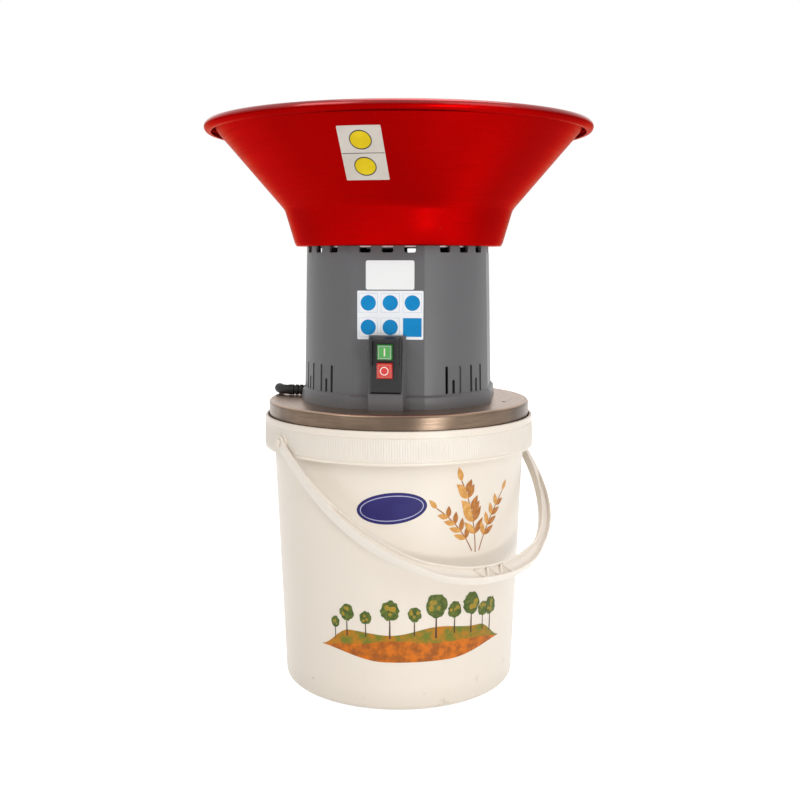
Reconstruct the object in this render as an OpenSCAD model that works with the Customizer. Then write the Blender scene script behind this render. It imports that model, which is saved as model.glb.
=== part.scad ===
// Electric grain mill: a hopper and a motor housing on a steel lid that stands on a pail.
// Origin at the centre of the pail's foot, +Z up, the switch faces -Y. All sizes in millimetres.

/* [Pail] */
// Height of the pail, foot to rim
pail_h = 302; // [280:1:330]
// Radius of the pail's foot
pail_foot_r = 130; // [125:0.5:134]
// Radius of the pail's body just under its collar
pail_top_r = 140.5; // [138:0.5:142]
// Wall of the pail
pail_wall = 2; // [1.5:0.1:2.4]
// Height of the collar round the pail's mouth
collar_h = 35; // [30:1:42]
// Outer radius of the collar
collar_r = 150; // [149:0.5:154]
// Stiffening webs under the collar
collar_webs = 24; // [12:4:36]
// Depth of the lid's seat below the pail's rim
seat_depth = 16; // [12:0.5:20]

/* [Bail] */
// Length of the bail from its pivots to the middle of its grip
bail_length = 212; // [200:1:225]
// Height of the bail's strap, across the bail's plane
bail_w = 11; // [9:0.5:13]
// Width of the strap in the bail's plane, between its ends and its grip
bail_d = 11; // [9:0.5:13]
// Width of the grip in the bail's plane
grip_d = 16; // [14:0.5:18]
// Thickness of the strap at its eyes
bail_t = 3; // [2.5:0.1:3.6]
// How far the stored bail hangs below the horizontal, in degrees
bail_drop = 37; // [34:1:40]
// Direction of the bail's grip, in degrees from the switch
bail_turn = 42; // [38:1:46]
// Radius of the pail's ear pins
ear_pin_r = 3.5; // [3:0.1:4.2]

/* [Lid] */
// Radius of the steel lid
lid_r = 145.7; // [143:0.1:146]
// Depth of the lid's skirt
lid_depth = 30; // [26:1:34]
// Sheet thickness of the lid
lid_t = 1.5; // [1:0.1:2]
// Thickness of the lid's rubber gasket
gasket_t = 2; // [1.5:0.1:3]

/* [Housing] */
// Radius of the housing's round front at its top
house_r = 102; // [100:0.5:104]
// Radius of the housing's round back at its top
house_rear_r = 108.5; // [106:0.5:110]
// Distance from the motor's axis to the flat in the middle of the front
house_front = 94.5; // [93:0.5:98]
// Half width across the housing's flat sides at its top
house_side = 98; // [95:0.5:99]
// Distance from the motor's axis to the housing's flat back
house_back = 94; // [92:0.5:97]
// Wall of the housing
house_wall = 3; // [2.4:0.1:3.4]
// Height of the housing
house_h = 169; // [164:1:176]
// How far each wall leans out from the top of the housing to its foot
house_draft = 4; // [2:0.5:5]
// Height of the foot flange
flange_h = 12; // [10:0.5:14]
// How far the foot flange stands out
flange_out = 2.5; // [1.5:0.5:4]
// Depth of the castellations in the top edge
notch_h = 7; // [6:0.5:9]
// Width of a castellation
notch_w = 12; // [10:0.5:13]
// Height of a long air slot
slot_h = 29; // [24:1:34]
// Width of an air slot
slot_w = 3.4; // [2.6:0.1:4]

/* [Switch] */
// Width of the switch
switch_w = 33; // [31:0.5:35]
// Height of the switch
switch_h = 58; // [56:0.5:62]
// Side of a push button
button_side = 16; // [14:0.5:17]
// Travel of a push button
button_travel = 3; // [2:0.5:3.5]

/* [Hopper] */
// Height of the hopper, foot to lip
hopper_h = 131.8; // [124:0.2:140]
// Outer radius of the hopper's foot
hopper_foot_r = 114.2; // [112:0.2:116]
// Radius of the hopper's knuckle
knuckle_r = 125.7; // [124:0.1:130]
// Height of the knuckle above the hopper's foot
knuckle_h = 39.4; // [34:0.5:44]
// Outer radius of the hopper's lip
lip_r = 211; // [204:0.5:216]
// Radius of the lip's roll
lip_roll = 5.5; // [4.5:0.1:6.5]
// Sheet thickness of the hopper
hopper_t = 1.5; // [1:0.1:2]

/* [Feed] */
// Bore radius of the feed chute
chute_r = 14; // [12:0.5:14.5]
// Wall of the feed chute
chute_wall = 2; // [1.5:0.1:2.2]
// How far the chute's axis lies behind the motor's axis
chute_y = 58; // [58:0.5:60]
// How far the chute's axis lies to the left of the motor's axis
chute_left = 24; // [23:0.5:26]
// Travel of the feed shutter
shutter_travel = 30; // [27:1:31]

/* [Milling chamber] */
// Inner radius of the screen
screen_r = 78; // [77.5:0.5:82]
// Height of the screen
screen_h = 54; // [46:1:60]
// Radius of a hole in the screen
screen_hole_r = 2; // [1:0.1:2.2]
// Holes round the screen
screen_holes = 36; // [24:4:48]
// Width of the blade
blade_w = 26; // [22:1:30]
// Gap between the blade's tips and the screen
blade_gap = 5; // [3:0.5:7]

/* [Motor] */
// Outer radius of the motor
motor_r = 44; // [42:0.5:45]
// Height of the motor's lamination stack
stack_h = 52; // [46:1:56]
// Radius of the armature
armature_r = 27; // [25:0.5:28]
// Blades on the cooling fan
fan_blades = 10; // [8:1:14]

/* [Cord] */
// Diameter of the power cord
cord_d = 7.4; // [6.8:0.1:7.8]

/* [Hidden] */

$fn = 96;
fit = 0.05;          // radial clearance of a running fit
slack = 0.3;         // clearance between pieces that don't touch
over = 1;            // how far a cut runs past the wall it opens

chute_x = -chute_left;

// Heights of the main levels
pail_foot_h = 3;
seat_z = pail_h - seat_depth;
lid_bottom = seat_z + gasket_t;
lid_top = lid_bottom + lid_depth;
lid_under = lid_top - lid_t;
house_top = lid_top + house_h;
hopper_z = house_top;
flange_top = lid_top + flange_h;

// Posts that the housing's screws bite into: two in front, two behind
post_r = 6;
post_hole_r = 2.1;
post_places = [[-65, -65], [65, -65], [-70, 60], [70, 60]];
ring_t = 1.5;
post_top = house_top - ring_t;
screw_r = 2;
screw_head_r = 4.5;
screw_head_h = 3;
screw_length = 20;
recess = [5, 0.9, 2.4];

// A point list round an arc
function arc(cx, cy, r, a0, a1, n) =
    [for (i = [0 : n]) [cx + r * cos(a0 + (a1 - a0) * i / n), cy + r * sin(a0 + (a1 - a0) * i / n)]];

function unit(v) = v / norm(v);

// The left-hand normal of a path at one of its points
function normal_at(p, i) =
    let (a = p[max(i - 1, 0)], b = p[min(i + 1, len(p) - 1)], d = unit(b - a))
    [-d[1], d[0]];

// The outline of a sheet of thickness t that follows a path on its left side
function sheet_outline(p, t) =
    concat(p, [for (i = [len(p) - 1 : -1 : 0]) p[i] + t * normal_at(p, i)]);

module tube(r, bore, h) {
    difference() {
        cylinder(h = h, r = r);
        translate([0, 0, -over]) cylinder(h = h + 2 * over, r = bore);
    }
}

module at_posts() {
    for (p = post_places) translate([p[0], p[1], 0]) children();
}

// ---------------------------------------------------------------- pail and bail

pail_slope = (pail_top_r - pail_foot_r) / (pail_h - collar_h);
foot_round = 8;
foot_ring_w = 5;
collar_wall = 2;
collar_lean = 1;
collar_edge = 1;
collar_web_t = 1.6;
collar_web_sink = 1.2;
seat_web = 5;
neck_r = lid_r + 1.3;
ear_z = pail_h - 21;
ear_face = collar_r + 0.7;
ear_sink = 1.9;
ear_boss_r = 9;
ear_boss_t = 1.2;
ear_pin_length = 6;
ear_head_r = 4.8;
ear_head_t = 1.4;
bail_gap = 0.4;

function pail_r(z) = pail_foot_r + pail_slope * z;

module pail_shell() {
    foot_ring_r = pail_r(0) - foot_round - foot_ring_w;
    knee_r = pail_r(foot_round) - foot_round;
    web_z = seat_z - seat_web;
    skirt_z = pail_h - collar_h;
    rotate_extrude() polygon(concat(
        // foot ring and outer wall, up to the web under the seat
        [[foot_ring_r, 0]],
        arc(knee_r, foot_round, foot_round, -90, -5, 8),
        [[pail_r(web_z), web_z],
         // under the web and down the collar's skirt
         [collar_r - collar_wall + collar_lean / 2, web_z],
         [collar_r - collar_wall + collar_lean, skirt_z],
         [collar_r + collar_lean, skirt_z],
         [collar_r, pail_h - collar_edge],
         [collar_r - collar_edge, pail_h],
         [neck_r, pail_h],
         // seat of the lid and inner wall
         [neck_r, seat_z],
         [pail_r(seat_z) - pail_wall, seat_z]],
        arc(knee_r, foot_round + pail_foot_h, foot_round - pail_wall, -5, -90, 6),
        [[0, pail_foot_h + pail_wall],
         [0, pail_foot_h],
         [foot_ring_r - pail_wall, pail_foot_h]]
    ));
}

// One radial web between the pail's body and its collar
module collar_web() {
    foot = pail_h - collar_h + collar_web_sink + 3;
    translate([pail_r(foot) - collar_web_sink, -collar_web_t / 2, foot])
        cube([collar_r - collar_wall + collar_lean - pail_r(foot) + collar_web_sink, collar_web_t,
              seat_z - seat_web + collar_web_sink - foot]);
}

// A pin with a head on a boss, along +X from the collar's face
module ear() {
    pin_end = ear_sink + ear_boss_t + ear_pin_length;
    translate([ear_face - ear_sink, 0, ear_z]) rotate([0, 90, 0]) {
        cylinder(h = ear_sink + ear_boss_t, r = ear_boss_r);
        cylinder(h = pin_end, r = ear_pin_r);
        translate([0, 0, pin_end - ear_head_t]) cylinder(h = ear_head_t, r1 = ear_head_r, r2 = ear_pin_r);
    }
}

module pail() {
    color([0.9, 0.87, 0.82]) {
        pail_shell();
        for (i = [0 : collar_webs - 1])
            rotate(360 / collar_webs * (i + 0.5) + bail_turn) collar_web();
        for (side = [0, 180]) rotate(bail_turn + side) ear();
    }
}

// Bail, drawn in its own plane: pivots on X, grip towards -Y, then tipped down
bail_half = ear_face + ear_boss_t + bail_gap + bail_t / 2;
bail_power = 2.2;
bail_eye_r = 7.2;
bail_steps = 60;
bail_flange = 1.8;     // walls along both sides of the strap
bail_web = 2.4;        // web between them, in the bail's plane
pocket_from = 8;       // steps from an eye to the start of the strap's pockets
grip_steps = 8;        // steps from the middle of the grip to its ends
grip_ribs = 5;
grip_rib_t = 1.6;
grip_rib_gap = 9;
grip_rib_slant = 30;
swell_from = 2;         // steps from an eye to where the strap begins to swell
swell_steps = 12;
grip_blend = 2;         // half the steps over which the strap swells into its grip

function bail_point(a) =
    [bail_half * sign(cos(a)) * pow(abs(cos(a)), 2 / bail_power),
     -bail_length * pow(sin(a), 2 / bail_power)];

bail_path = [for (i = [0 : bail_steps]) bail_point(180 * i / bail_steps)];

// A smooth rise from 0 at a to 1 at b
function ease(x, a, b) = let (t = min(1, max(0, (x - a) / (b - a)))) t * t * (3 - 2 * t);

// The strap's width in the bail's plane at step i: thin at the eyes, widest at the grip
function bail_width(i) =
    let (from_eye = min(i, bail_steps - i), from_grip = abs(i - bail_steps / 2))
    bail_t + (bail_d - bail_t) * ease(from_eye, swell_from, swell_from + swell_steps)
        + (grip_d - bail_d) * (1 - ease(from_grip, grip_steps - grip_blend, grip_steps + grip_blend));

// The strap's outline between two steps, narrower by inset on each side
function strap_outline(first, last, inset) = concat(
    [for (i = [first : last]) bail_path[i] + (bail_width(i) / 2 - inset) * normal_at(bail_path, i)],
    [for (i = [last : -1 : first]) bail_path[i] - (bail_width(i) / 2 - inset) * normal_at(bail_path, i)]);

module bail_strap() {
    difference() {
        translate([0, 0, -bail_w / 2]) linear_extrude(bail_w) polygon(strap_outline(0, bail_steps, 0));
        // pockets on both sides of the web
        for (z = [-bail_w / 2 - over, bail_web / 2]) translate([0, 0, z])
            linear_extrude(bail_w / 2 + over - bail_web / 2)
                polygon(strap_outline(pocket_from, bail_steps - pocket_from, bail_flange));
    }
}

// Slanting ribs across the pockets of the grip
module grip_web() {
    for (i = [0 : grip_ribs - 1]) {
        at = (i - (grip_ribs - 1) / 2) * grip_rib_gap;
        translate([at, -bail_length, 0]) rotate((i % 2 == 0 ? 1 : -1) * grip_rib_slant)
            cube([grip_rib_t, grip_d - bail_flange, bail_w - grip_rib_t], center = true);
    }
}

module bail_eye() {
    rotate([0, 90, 0]) cylinder(h = bail_t, r = bail_eye_r, center = true);
}

module bail_handle() {
    color([0.93, 0.9, 0.86])
    rotate(bail_turn) translate([0, 0, ear_z]) rotate([bail_drop, 0, 0]) difference() {
        union() {
            bail_strap();
            grip_web();
            for (side = [-1, 1]) translate([side * bail_half, 0, 0]) bail_eye();
        }
        for (side = [-1, 1]) translate([side * bail_half, 0, 0])
            rotate([0, 90, 0]) cylinder(h = 4 * bail_t, r = ear_pin_r + fit, center = true);
    }
}

// ---------------------------------------------------------------- lid

lid_corner = 3;
vent_place = [119, -25];
vent_r = 2.3;
shaft_hole_r = 12;

stud_ring_r = 88;
stud_r = 3;
stud_angles = [30, 150, 270];

module lid_plate() {
    color([0.72, 0.64, 0.55]) difference() {
        rotate_extrude() polygon(concat(
            [[shaft_hole_r, lid_under]],
            arc(lid_r - lid_corner, lid_top - lid_corner, lid_corner - lid_t, 90, 0, 6),
            [[lid_r - lid_t, lid_bottom], [lid_r, lid_bottom]],
            arc(lid_r - lid_corner, lid_top - lid_corner, lid_corner, 0, 90, 6),
            [[shaft_hole_r, lid_top]]
        ));
        translate([chute_x, chute_y, lid_under - over]) cylinder(h = lid_t + 2 * over, r = chute_r);
        translate([vent_place[0], vent_place[1], lid_under - over])
            cylinder(h = lid_t + 2 * over, r = vent_r);
        at_posts() translate([0, 0, lid_under - over]) cylinder(h = lid_t + 2 * over, r = screw_r + slack);
    }
}

gasket_out = 0.8;
gasket_in = 5;

module lid_gasket() {
    color([0.12, 0.12, 0.12]) translate([0, 0, seat_z])
        tube(lid_r + gasket_out, lid_r - gasket_in, gasket_t);
}

// ---------------------------------------------------------------- housing

wide = 1.5 * house_r;  // reach past every wall
house_sides = 144;

// A block along Y with leaning sides: where they stand at its foot and at its top
module tapered_block(foot_from, foot_to, top_from, top_to, h) {
    rotate([90, 0, 0]) linear_extrude(2 * wide, center = true)
        polygon([[foot_from, 0], [foot_to, 0], [top_to, h], [top_from, h]]);
}

// The housing's outer or inner form, wider at its foot: round in front and behind, with flat sides
module house_form(grow, h, draft) {
    side = house_side + grow;
    front = house_front + grow;
    back = house_back + grow;
    intersection() {
        union() {
            intersection() {
                cylinder(h = h, r1 = house_r + grow + draft, r2 = house_r + grow, $fn = house_sides);
                translate([-wide, -wide, 0]) cube([2 * wide, wide, h]);
            }
            intersection() {
                cylinder(h = h, r1 = house_rear_r + grow + draft, r2 = house_rear_r + grow,
                         $fn = house_sides);
                translate([-wide, 0, 0]) cube([2 * wide, wide, h]);
            }
        }
        tapered_block(-side - draft, side + draft, -side, side, h);
        rotate(90) tapered_block(-front - draft, back + draft, -front, back, h);
    }
}

notch_groups = [0, -49, 49, -100, 100, 163];
notch_pitch = 14;
slot_pitch = 4.65;
slot_group = 49.5;
slot_foot = flange_top + 3;
notch_round = 2;
cut_from = house_front - 16;
cut_depth = 40;
boot_y = 5;
boot_r = 5.9;
boot_z = lid_top + boot_r + slack;

// A castellation through the wall, with round lower corners
module notch() {
    rotate([90, 0, 0]) translate([0, house_top - notch_h, cut_from]) linear_extrude(cut_depth) {
        translate([-notch_w / 2, notch_round]) square([notch_w, notch_h]);
        translate([-notch_w / 2 + notch_round, 0]) square([notch_w - 2 * notch_round, notch_h]);
        for (side = [-1, 1])
            translate([side * (notch_w / 2 - notch_round), notch_round]) circle(r = notch_round, $fn = 24);
    }
}

module air_slot(h) {
    rotate([90, 0, 0]) translate([0, slot_foot, cut_from]) linear_extrude(cut_depth) {
        translate([-slot_w / 2, 0]) square([slot_w, h - slot_w / 2]);
        translate([0, h - slot_w / 2]) circle(r = slot_w / 2, $fn = 24);
    }
}

// Two triplets of slots: long, short, long
module slot_set() {
    for (k = [-3, -2, -1, 1, 2, 3])
        rotate(slot_pitch * k) air_slot(abs(k) == 2 ? slot_h / 2 : slot_h);
}

pocket_wall = 1.5;
column_half = switch_w / 2 + pocket_wall;
column_root_half = column_half + 4;
column_front = 112.5;
column_top_front = 101;
column_root = 90;
switch_z = lid_top + 17.5;
switch_front = 115;
switch_back = 98;
switch_body_back = 76;
body_inset = 3;
column_top = switch_z + switch_h + pocket_wall;

// A slab of the column at one height, wider at its root
module column_slab(z, front, shrink) {
    translate([0, 0, z]) linear_extrude(1) polygon([
        [-column_half + shrink, -front + shrink], [column_half - shrink, -front + shrink],
        [column_root_half - shrink, -column_root], [-column_root_half + shrink, -column_root]]);
}

// The wedge that stands out in front and carries the switch
module column(shrink, foot, top) {
    hull() {
        column_slab(foot, column_front, shrink);
        column_slab(switch_z - 2 * pocket_wall, column_front, shrink);
        column_slab(top - 1, column_top_front, shrink);
    }
}

// A web that ties a post to the wall and ends inside its thickness
module post_rib(p) {
    in_front = p[1] < 0;
    turn = in_front ? atan2(p[1], p[0]) : (p[0] < 0 ? 180 : 0);
    intersection() {
        translate([p[0], p[1], flange_top]) rotate(turn) translate([post_r - over, -rib_t / 2, 0])
            cube([house_r / 2, rib_t, post_top - flange_top - notch_h]);
        translate([0, 0, lid_top]) house_form(-house_wall / 2, house_h, house_draft);
    }
}

rib_t = 3;
flange_grow = house_draft + flange_out;
flange_taper = 1;
flange_chamfer = 2.5;

module housing_shell() {
    difference() {
        union() {
            translate([0, 0, lid_top]) house_form(0, house_h, house_draft);
            translate([0, 0, lid_top]) house_form(flange_grow, flange_h, flange_taper);
            translate([0, 0, flange_top]) house_form(house_draft, flange_chamfer, flange_out);
            column(0, lid_top, column_top);
        }
        translate([0, 0, lid_top - over]) house_form(-house_wall, house_h + 2 * over, house_draft);
        translate([0, 0, lid_top - over])
            house_form(flange_grow + flange_taper - house_wall, flange_h - 2 * over, 0);
        column(house_wall, lid_top - over, column_top - house_wall);
        for (g = notch_groups) for (k = [-1, 0, 1]) rotate(g + notch_pitch * k) notch();
        for (g = [-slot_group, slot_group]) rotate(g) slot_set();
    }
}

module motor_housing() {
    color([0.3, 0.3, 0.3]) difference() {
        union() {
            housing_shell();
            at_posts() translate([0, 0, lid_top]) cylinder(h = post_top - lid_top, r = post_r);
            for (p = post_places) post_rib(p);
        }
        at_posts() {
            translate([0, 0, post_top - screw_length]) cylinder(h = screw_length + over, r = post_hole_r);
            translate([0, 0, lid_top - over]) cylinder(h = screw_length, r = post_hole_r);
        }
        // way out of the shutter
        translate([chute_x - shutter_w / 2 - over, house_back - 4 * house_wall, shutter_z - slack])
            cube([shutter_w + 2 * over, 7 * house_wall, house_h]);
        // pocket of the switch and window for its body
        translate([-switch_w / 2 - fit, -switch_front, switch_z - fit])
            cube([switch_w + 2 * fit, switch_front - switch_back, switch_h + 2 * fit]);
        translate([-switch_w / 2 + body_inset - slack, -switch_back - over, switch_z + body_inset - slack])
            cube([switch_w - 2 * body_inset + 2 * slack, switch_front - switch_body_back,
                  switch_h - 2 * body_inset + 2 * slack]);
        // hole of the cord's boot
        translate([-house_side - flange_h, boot_y, boot_z])
            rotate([0, 90, 0]) cylinder(h = 2 * flange_h, r = boot_r + fit);
        translate([-house_side - flange_h, boot_y - boot_r - fit, lid_top - over])
            cube([2 * flange_h, 2 * (boot_r + fit), boot_z - lid_top + over]);
    }
}

// ---------------------------------------------------------------- switch

bezel_bevel = 2;
hood_h = 28;
hood_t = 2.4;
hood_out = 7;
button_gap = 3;
start_rise = 4;
stop_rise = 6;
button_depth = 14;
stop_z = switch_z + 16.5;
start_z = stop_z + button_side + button_gap;
hood_side = switch_w / 2 - 1.5;
hood_top = switch_z + switch_h - 0.5;
cap_bevel = 1.2;
shank_inset = 3;

module button_hole(z) {
    translate([-button_side / 2 - slack, -switch_front - over, z - slack])
        cube([button_side + 2 * slack, button_depth + button_travel + 2 * over, button_side + 2 * slack]);
}

module switch_frame() {
    color([0.06, 0.06, 0.06]) difference() {
        union() {
            // bezel with bevelled edges
            hull() {
                translate([-switch_w / 2, -switch_front + bezel_bevel, switch_z])
                    cube([switch_w, switch_front - switch_back - bezel_bevel, switch_h]);
                translate([-switch_w / 2 + bezel_bevel, -switch_front, switch_z + bezel_bevel])
                    cube([switch_w - 2 * bezel_bevel, over, switch_h - 2 * bezel_bevel]);
            }
            // body behind the bezel
            translate([-switch_w / 2 + body_inset, -switch_back - over, switch_z + body_inset])
                cube([switch_w - 2 * body_inset, switch_back + over - switch_body_back,
                      switch_h - 2 * body_inset]);
            // hood round the start button
            difference() {
                translate([-hood_side, -switch_front - hood_out, hood_top - hood_h])
                    cube([2 * hood_side, hood_out + hood_t, hood_h]);
                translate([-hood_side + hood_t, -switch_front - hood_out - over, switch_z])
                    cube([2 * (hood_side - hood_t), hood_out + hood_t + 2 * over,
                          hood_top - hood_t - switch_z]);
            }
        }
        button_hole(stop_z);
        button_hole(start_z);
    }
}

// A square cap with bevelled edges on a longer shank
module push_button(z, rise) {
    cap_h = button_travel + rise;
    translate([-button_side / 2, -switch_front - rise, z]) {
        hull() {
            translate([cap_bevel, 0, cap_bevel])
                cube([button_side - 2 * cap_bevel, over, button_side - 2 * cap_bevel]);
            translate([0, cap_bevel, 0]) cube([button_side, cap_h, button_side]);
        }
        translate([shank_inset, cap_h, shank_inset])
            cube([button_side - 2 * shank_inset, button_depth - button_travel,
                  button_side - 2 * shank_inset]);
    }
}

module start_button() { color([0.25, 0.55, 0.25]) push_button(start_z, start_rise); }
module stop_button() { color([0.75, 0.15, 0.15]) push_button(stop_z, stop_rise); }

// ---------------------------------------------------------------- hopper and feed

hopper_flange_r = 84;
foot_bend = 1;
cone_top_r = 181.8;
cone_top_h = hopper_h - 27.3;
flare_r = 190;
flare_h = hopper_h - 17.9;
lip_centre = [lip_r - lip_roll, hopper_h - lip_roll];
lip_start = 140;
lip_end = -110;

hopper_path = concat(
    [[hopper_flange_r, 0], [hopper_foot_r - foot_bend, 0], [hopper_foot_r, foot_bend],
     [knuckle_r, knuckle_h], [cone_top_r, cone_top_h], [flare_r, flare_h]],
    arc(lip_centre[0], lip_centre[1], lip_roll - hopper_t, lip_start, lip_end, 16)
);

module hopper() {
    color([0.75, 0.02, 0.02]) difference() {
        translate([0, 0, hopper_z]) rotate_extrude() polygon(sheet_outline(hopper_path, hopper_t));
        at_posts() translate([0, 0, hopper_z - over])
            cylinder(h = hopper_t + 2 * over, r = screw_r + slack);
    }
}

floor_t = 1.5;
floor_z = hopper_z + hopper_t;
floor_r = hopper_foot_r - 4;
shutter_t = 2;
shutter_w = 36;
shutter_z = house_top - 2.6;
spout_wall = 1.5;
spout_drop = floor_z - shutter_z - shutter_t - slack;

module hopper_floor() {
    color([0.8, 0.8, 0.8]) difference() {
        union() {
            translate([0, 0, floor_z]) cylinder(h = floor_t, r = floor_r);
            translate([chute_x, chute_y, floor_z - spout_drop])
                cylinder(h = spout_drop + over, r = chute_r + spout_wall);
        }
        translate([chute_x, chute_y, floor_z - spout_drop - over])
            cylinder(h = spout_drop + floor_t + 2 * over, r = chute_r);
        at_posts() translate([0, 0, floor_z - over]) cylinder(h = floor_t + 2 * over, r = screw_r + slack);
    }
}

// A pan-head screw, head up, its head's underside at z = 0
module pan_screw() {
    cylinder(h = screw_head_h, r1 = screw_head_r, r2 = screw_head_r - 1.2);
    translate([0, 0, over - screw_length]) cylinder(h = screw_length, r = screw_r);
}

module hopper_screws() {
    color([0.75, 0.75, 0.75]) at_posts() translate([0, 0, floor_z + floor_t]) difference() {
        pan_screw();
        for (turn = [0, 90]) rotate(turn) translate([0, 0, screw_head_h]) cube(recess, center = true);
    }
}

ring_r = 98;
ring_bore = 84;
ring_gap = 3;

module support_ring() {
    color([0.85, 0.85, 0.83]) difference() {
        intersection() {
            translate([0, 0, post_top]) tube(ring_r, ring_bore, ring_t);
            translate([0, 0, lid_top]) house_form(-house_wall - slack, house_h, house_draft);
        }
        at_posts() translate([0, 0, post_top - over]) cylinder(h = ring_t + 2 * over, r = screw_r + slack);
        // way of the shutter
        translate([chute_x - shutter_w / 2 - ring_gap, chute_y, post_top - over])
            cube([shutter_w + 2 * ring_gap, house_r, ring_t + 2 * over]);
    }
}

chute_flange_t = 2;
chute_flange_out = 6;
chute_top = shutter_z - slack / 3;

module feed_chute() {
    color([0.7, 0.7, 0.72]) translate([chute_x, chute_y, 0]) difference() {
        union() {
            translate([0, 0, lid_top]) cylinder(h = chute_top - lid_top, r = chute_r + chute_wall);
            translate([0, 0, chute_top - chute_flange_t])
                cylinder(h = chute_flange_t, r = chute_r + chute_flange_out);
        }
        translate([0, 0, lid_top - over]) cylinder(h = chute_top - lid_top + 2 * over, r = chute_r);
    }
}

tab_y = hopper_foot_r - 2;
tab_h = 22;
shutter_first = chute_y - chute_r - 3;

module feed_shutter() {
    color([0.7, 0.7, 0.72]) translate([chute_x, 0, 0]) {
        translate([-shutter_w / 2, shutter_first, shutter_z])
            cube([shutter_w, tab_y + shutter_t - shutter_first, shutter_t]);
        translate([-shutter_w / 2, tab_y, shutter_z + shutter_t - tab_h])
            cube([shutter_w, shutter_t, tab_h]);
    }
}

module shutter_knob() {
    color([0.08, 0.08, 0.08])
    translate([chute_x, tab_y + shutter_t, shutter_z - tab_h / 2]) rotate([-90, 0, 0])
        rotate_extrude() polygon([[0, 0], [4, 0], [4, 3], [8, 6], [8, 11], [6, 13], [0, 13]]);
}

// ---------------------------------------------------------------- motor

bell_t = 6;
bell_hub_r = 22;
fan_gap = 7;
stack_gap = 10;
coil_head = 8;
coil_air = 1.5;
coil_wall = 9.5;
brush_rise = 18;
bridge_rise = 28;
bolt_r = 1.5;
bolt_bite = 12;
upper_shaft_r = 6;
bearing_r = 17.5;
bearing_bore = 7.5;
bearing_h = 11;
bearing_z = lid_top + 4;
pillar_place = motor_r - 3;
pillar_r = 3;
fan_z = bearing_z + bearing_h + fan_gap;
fan_h = 10;
fan_r = 33;
stack_z = fan_z + fan_h + stack_gap;
stack_top = stack_z + stack_h;
coil_z = stack_z - coil_head;
coil_h = stack_h + 2 * coil_head;
coil_in = armature_r + coil_air;
coil_out = coil_in + coil_wall;
coil_span = 110;
air_gap = 0.6;
top_bearing_r = 11;
top_bearing_bore = 4;
top_bearing_h = 7;
bridge_z = stack_top + bridge_rise;
bridge_t = 4;
top_bearing_z = bridge_z + bridge_t / 2;
brush_z = stack_top + brush_rise;
commutator_r = 13;

module lower_end_bell() {
    color([0.62, 0.62, 0.64]) difference() {
        union() {
            translate([0, 0, lid_top]) cylinder(h = bell_t, r = motor_r);
            translate([0, 0, lid_top]) cylinder(h = bearing_z + bearing_h - lid_top + over, r = bell_hub_r);
            for (a = [45 : 90 : 315]) rotate(a)
                translate([pillar_place, 0, lid_top]) cylinder(h = stack_z - lid_top, r = pillar_r);
        }
        translate([0, 0, lid_top - over]) cylinder(h = bearing_h, r = shaft_hole_r);
        translate([0, 0, bearing_z]) cylinder(h = 2 * bearing_h, r = bearing_r + fit);
        for (a = [45 : 90 : 315]) rotate(a)
            translate([pillar_place, 0, stack_z - bolt_bite - over])
                cylinder(h = 2 * bolt_bite, r = bolt_r + fit);
    }
}

race_w = 2.5;
race_step = 0.8;

module bearing(r, bore, h) {
    difference() {
        tube(r, bore, h);
        for (z = [-over, h - race_step]) translate([0, 0, z])
            tube(r - race_w, bore + race_w, race_step + over);
    }
}

module lower_bearing() {
    color([0.8, 0.8, 0.82]) translate([0, 0, bearing_z]) bearing(bearing_r, bearing_bore, bearing_h);
}

module upper_bearing() {
    color([0.8, 0.8, 0.82]) translate([0, 0, top_bearing_z])
        bearing(top_bearing_r, top_bearing_bore, top_bearing_h);
}

module shaft_seal() {
    color([0.1, 0.1, 0.1]) translate([0, 0, lid_under])
        tube(shaft_hole_r - fit, bearing_bore + 2 * fit, bearing_z - lid_under - fit);
}

// One field coil, a half shell along the stack
module field_coil(grow) {
    for (side = [0, 180]) rotate(side - coil_span / 2 - grow)
        translate([0, 0, coil_z - grow]) rotate_extrude(angle = coil_span + 2 * grow)
            translate([coil_in - grow, 0]) square([coil_out - coil_in + 2 * grow, coil_h + 2 * grow]);
}

module stator_core() {
    color([0.35, 0.35, 0.37]) difference() {
        translate([0, 0, stack_z]) tube(motor_r, armature_r + air_gap, stack_h);
        field_coil(air_gap / 3);
        for (a = [45 : 90 : 315]) rotate(a)
            translate([pillar_place, 0, stack_z - over]) cylinder(h = stack_h + 2 * over, r = bolt_r + fit);
    }
}

module field_coils() { color([0.72, 0.38, 0.16]) field_coil(0); }

window_place = 25;
window_r = 6;
hub_wall = 4;
holder_w = 9;
holder_h = 10;
holder_gap = 3;
holder_out = 2;
brush_w = 6;
brush_h = 7;
brush_length = 20;
brush_slack = 0.2;

module upper_end_bell() {
    color([0.12, 0.12, 0.13]) difference() {
        union() {
            translate([0, 0, stack_top]) tube(motor_r, coil_out + slack, bridge_z - stack_top + over);
            translate([0, 0, bridge_z]) cylinder(h = bridge_t, r = motor_r);
            translate([0, 0, bridge_z]) cylinder(h = top_bearing_h + bell_t, r = top_bearing_r + hub_wall);
        }
        translate([0, 0, bridge_z - over])
            cylinder(h = over + top_bearing_z - bridge_z + top_bearing_h + fit, r = top_bearing_r + fit);
        for (a = [45 : 90 : 315]) rotate(a) {
            translate([pillar_place, 0, stack_top - over]) cylinder(h = 2 * bridge_rise, r = bolt_r + fit);
            // air windows in the bridge
            translate([window_place, 0, bridge_z - over]) cylinder(h = bridge_t + 2 * over, r = window_r);
        }
        translate([-motor_r - over, -holder_w / 2 - fit, brush_z - holder_h / 2 - fit])
            cube([2 * (motor_r + over), holder_w + 2 * fit, holder_h + 2 * fit]);
    }
}

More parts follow.
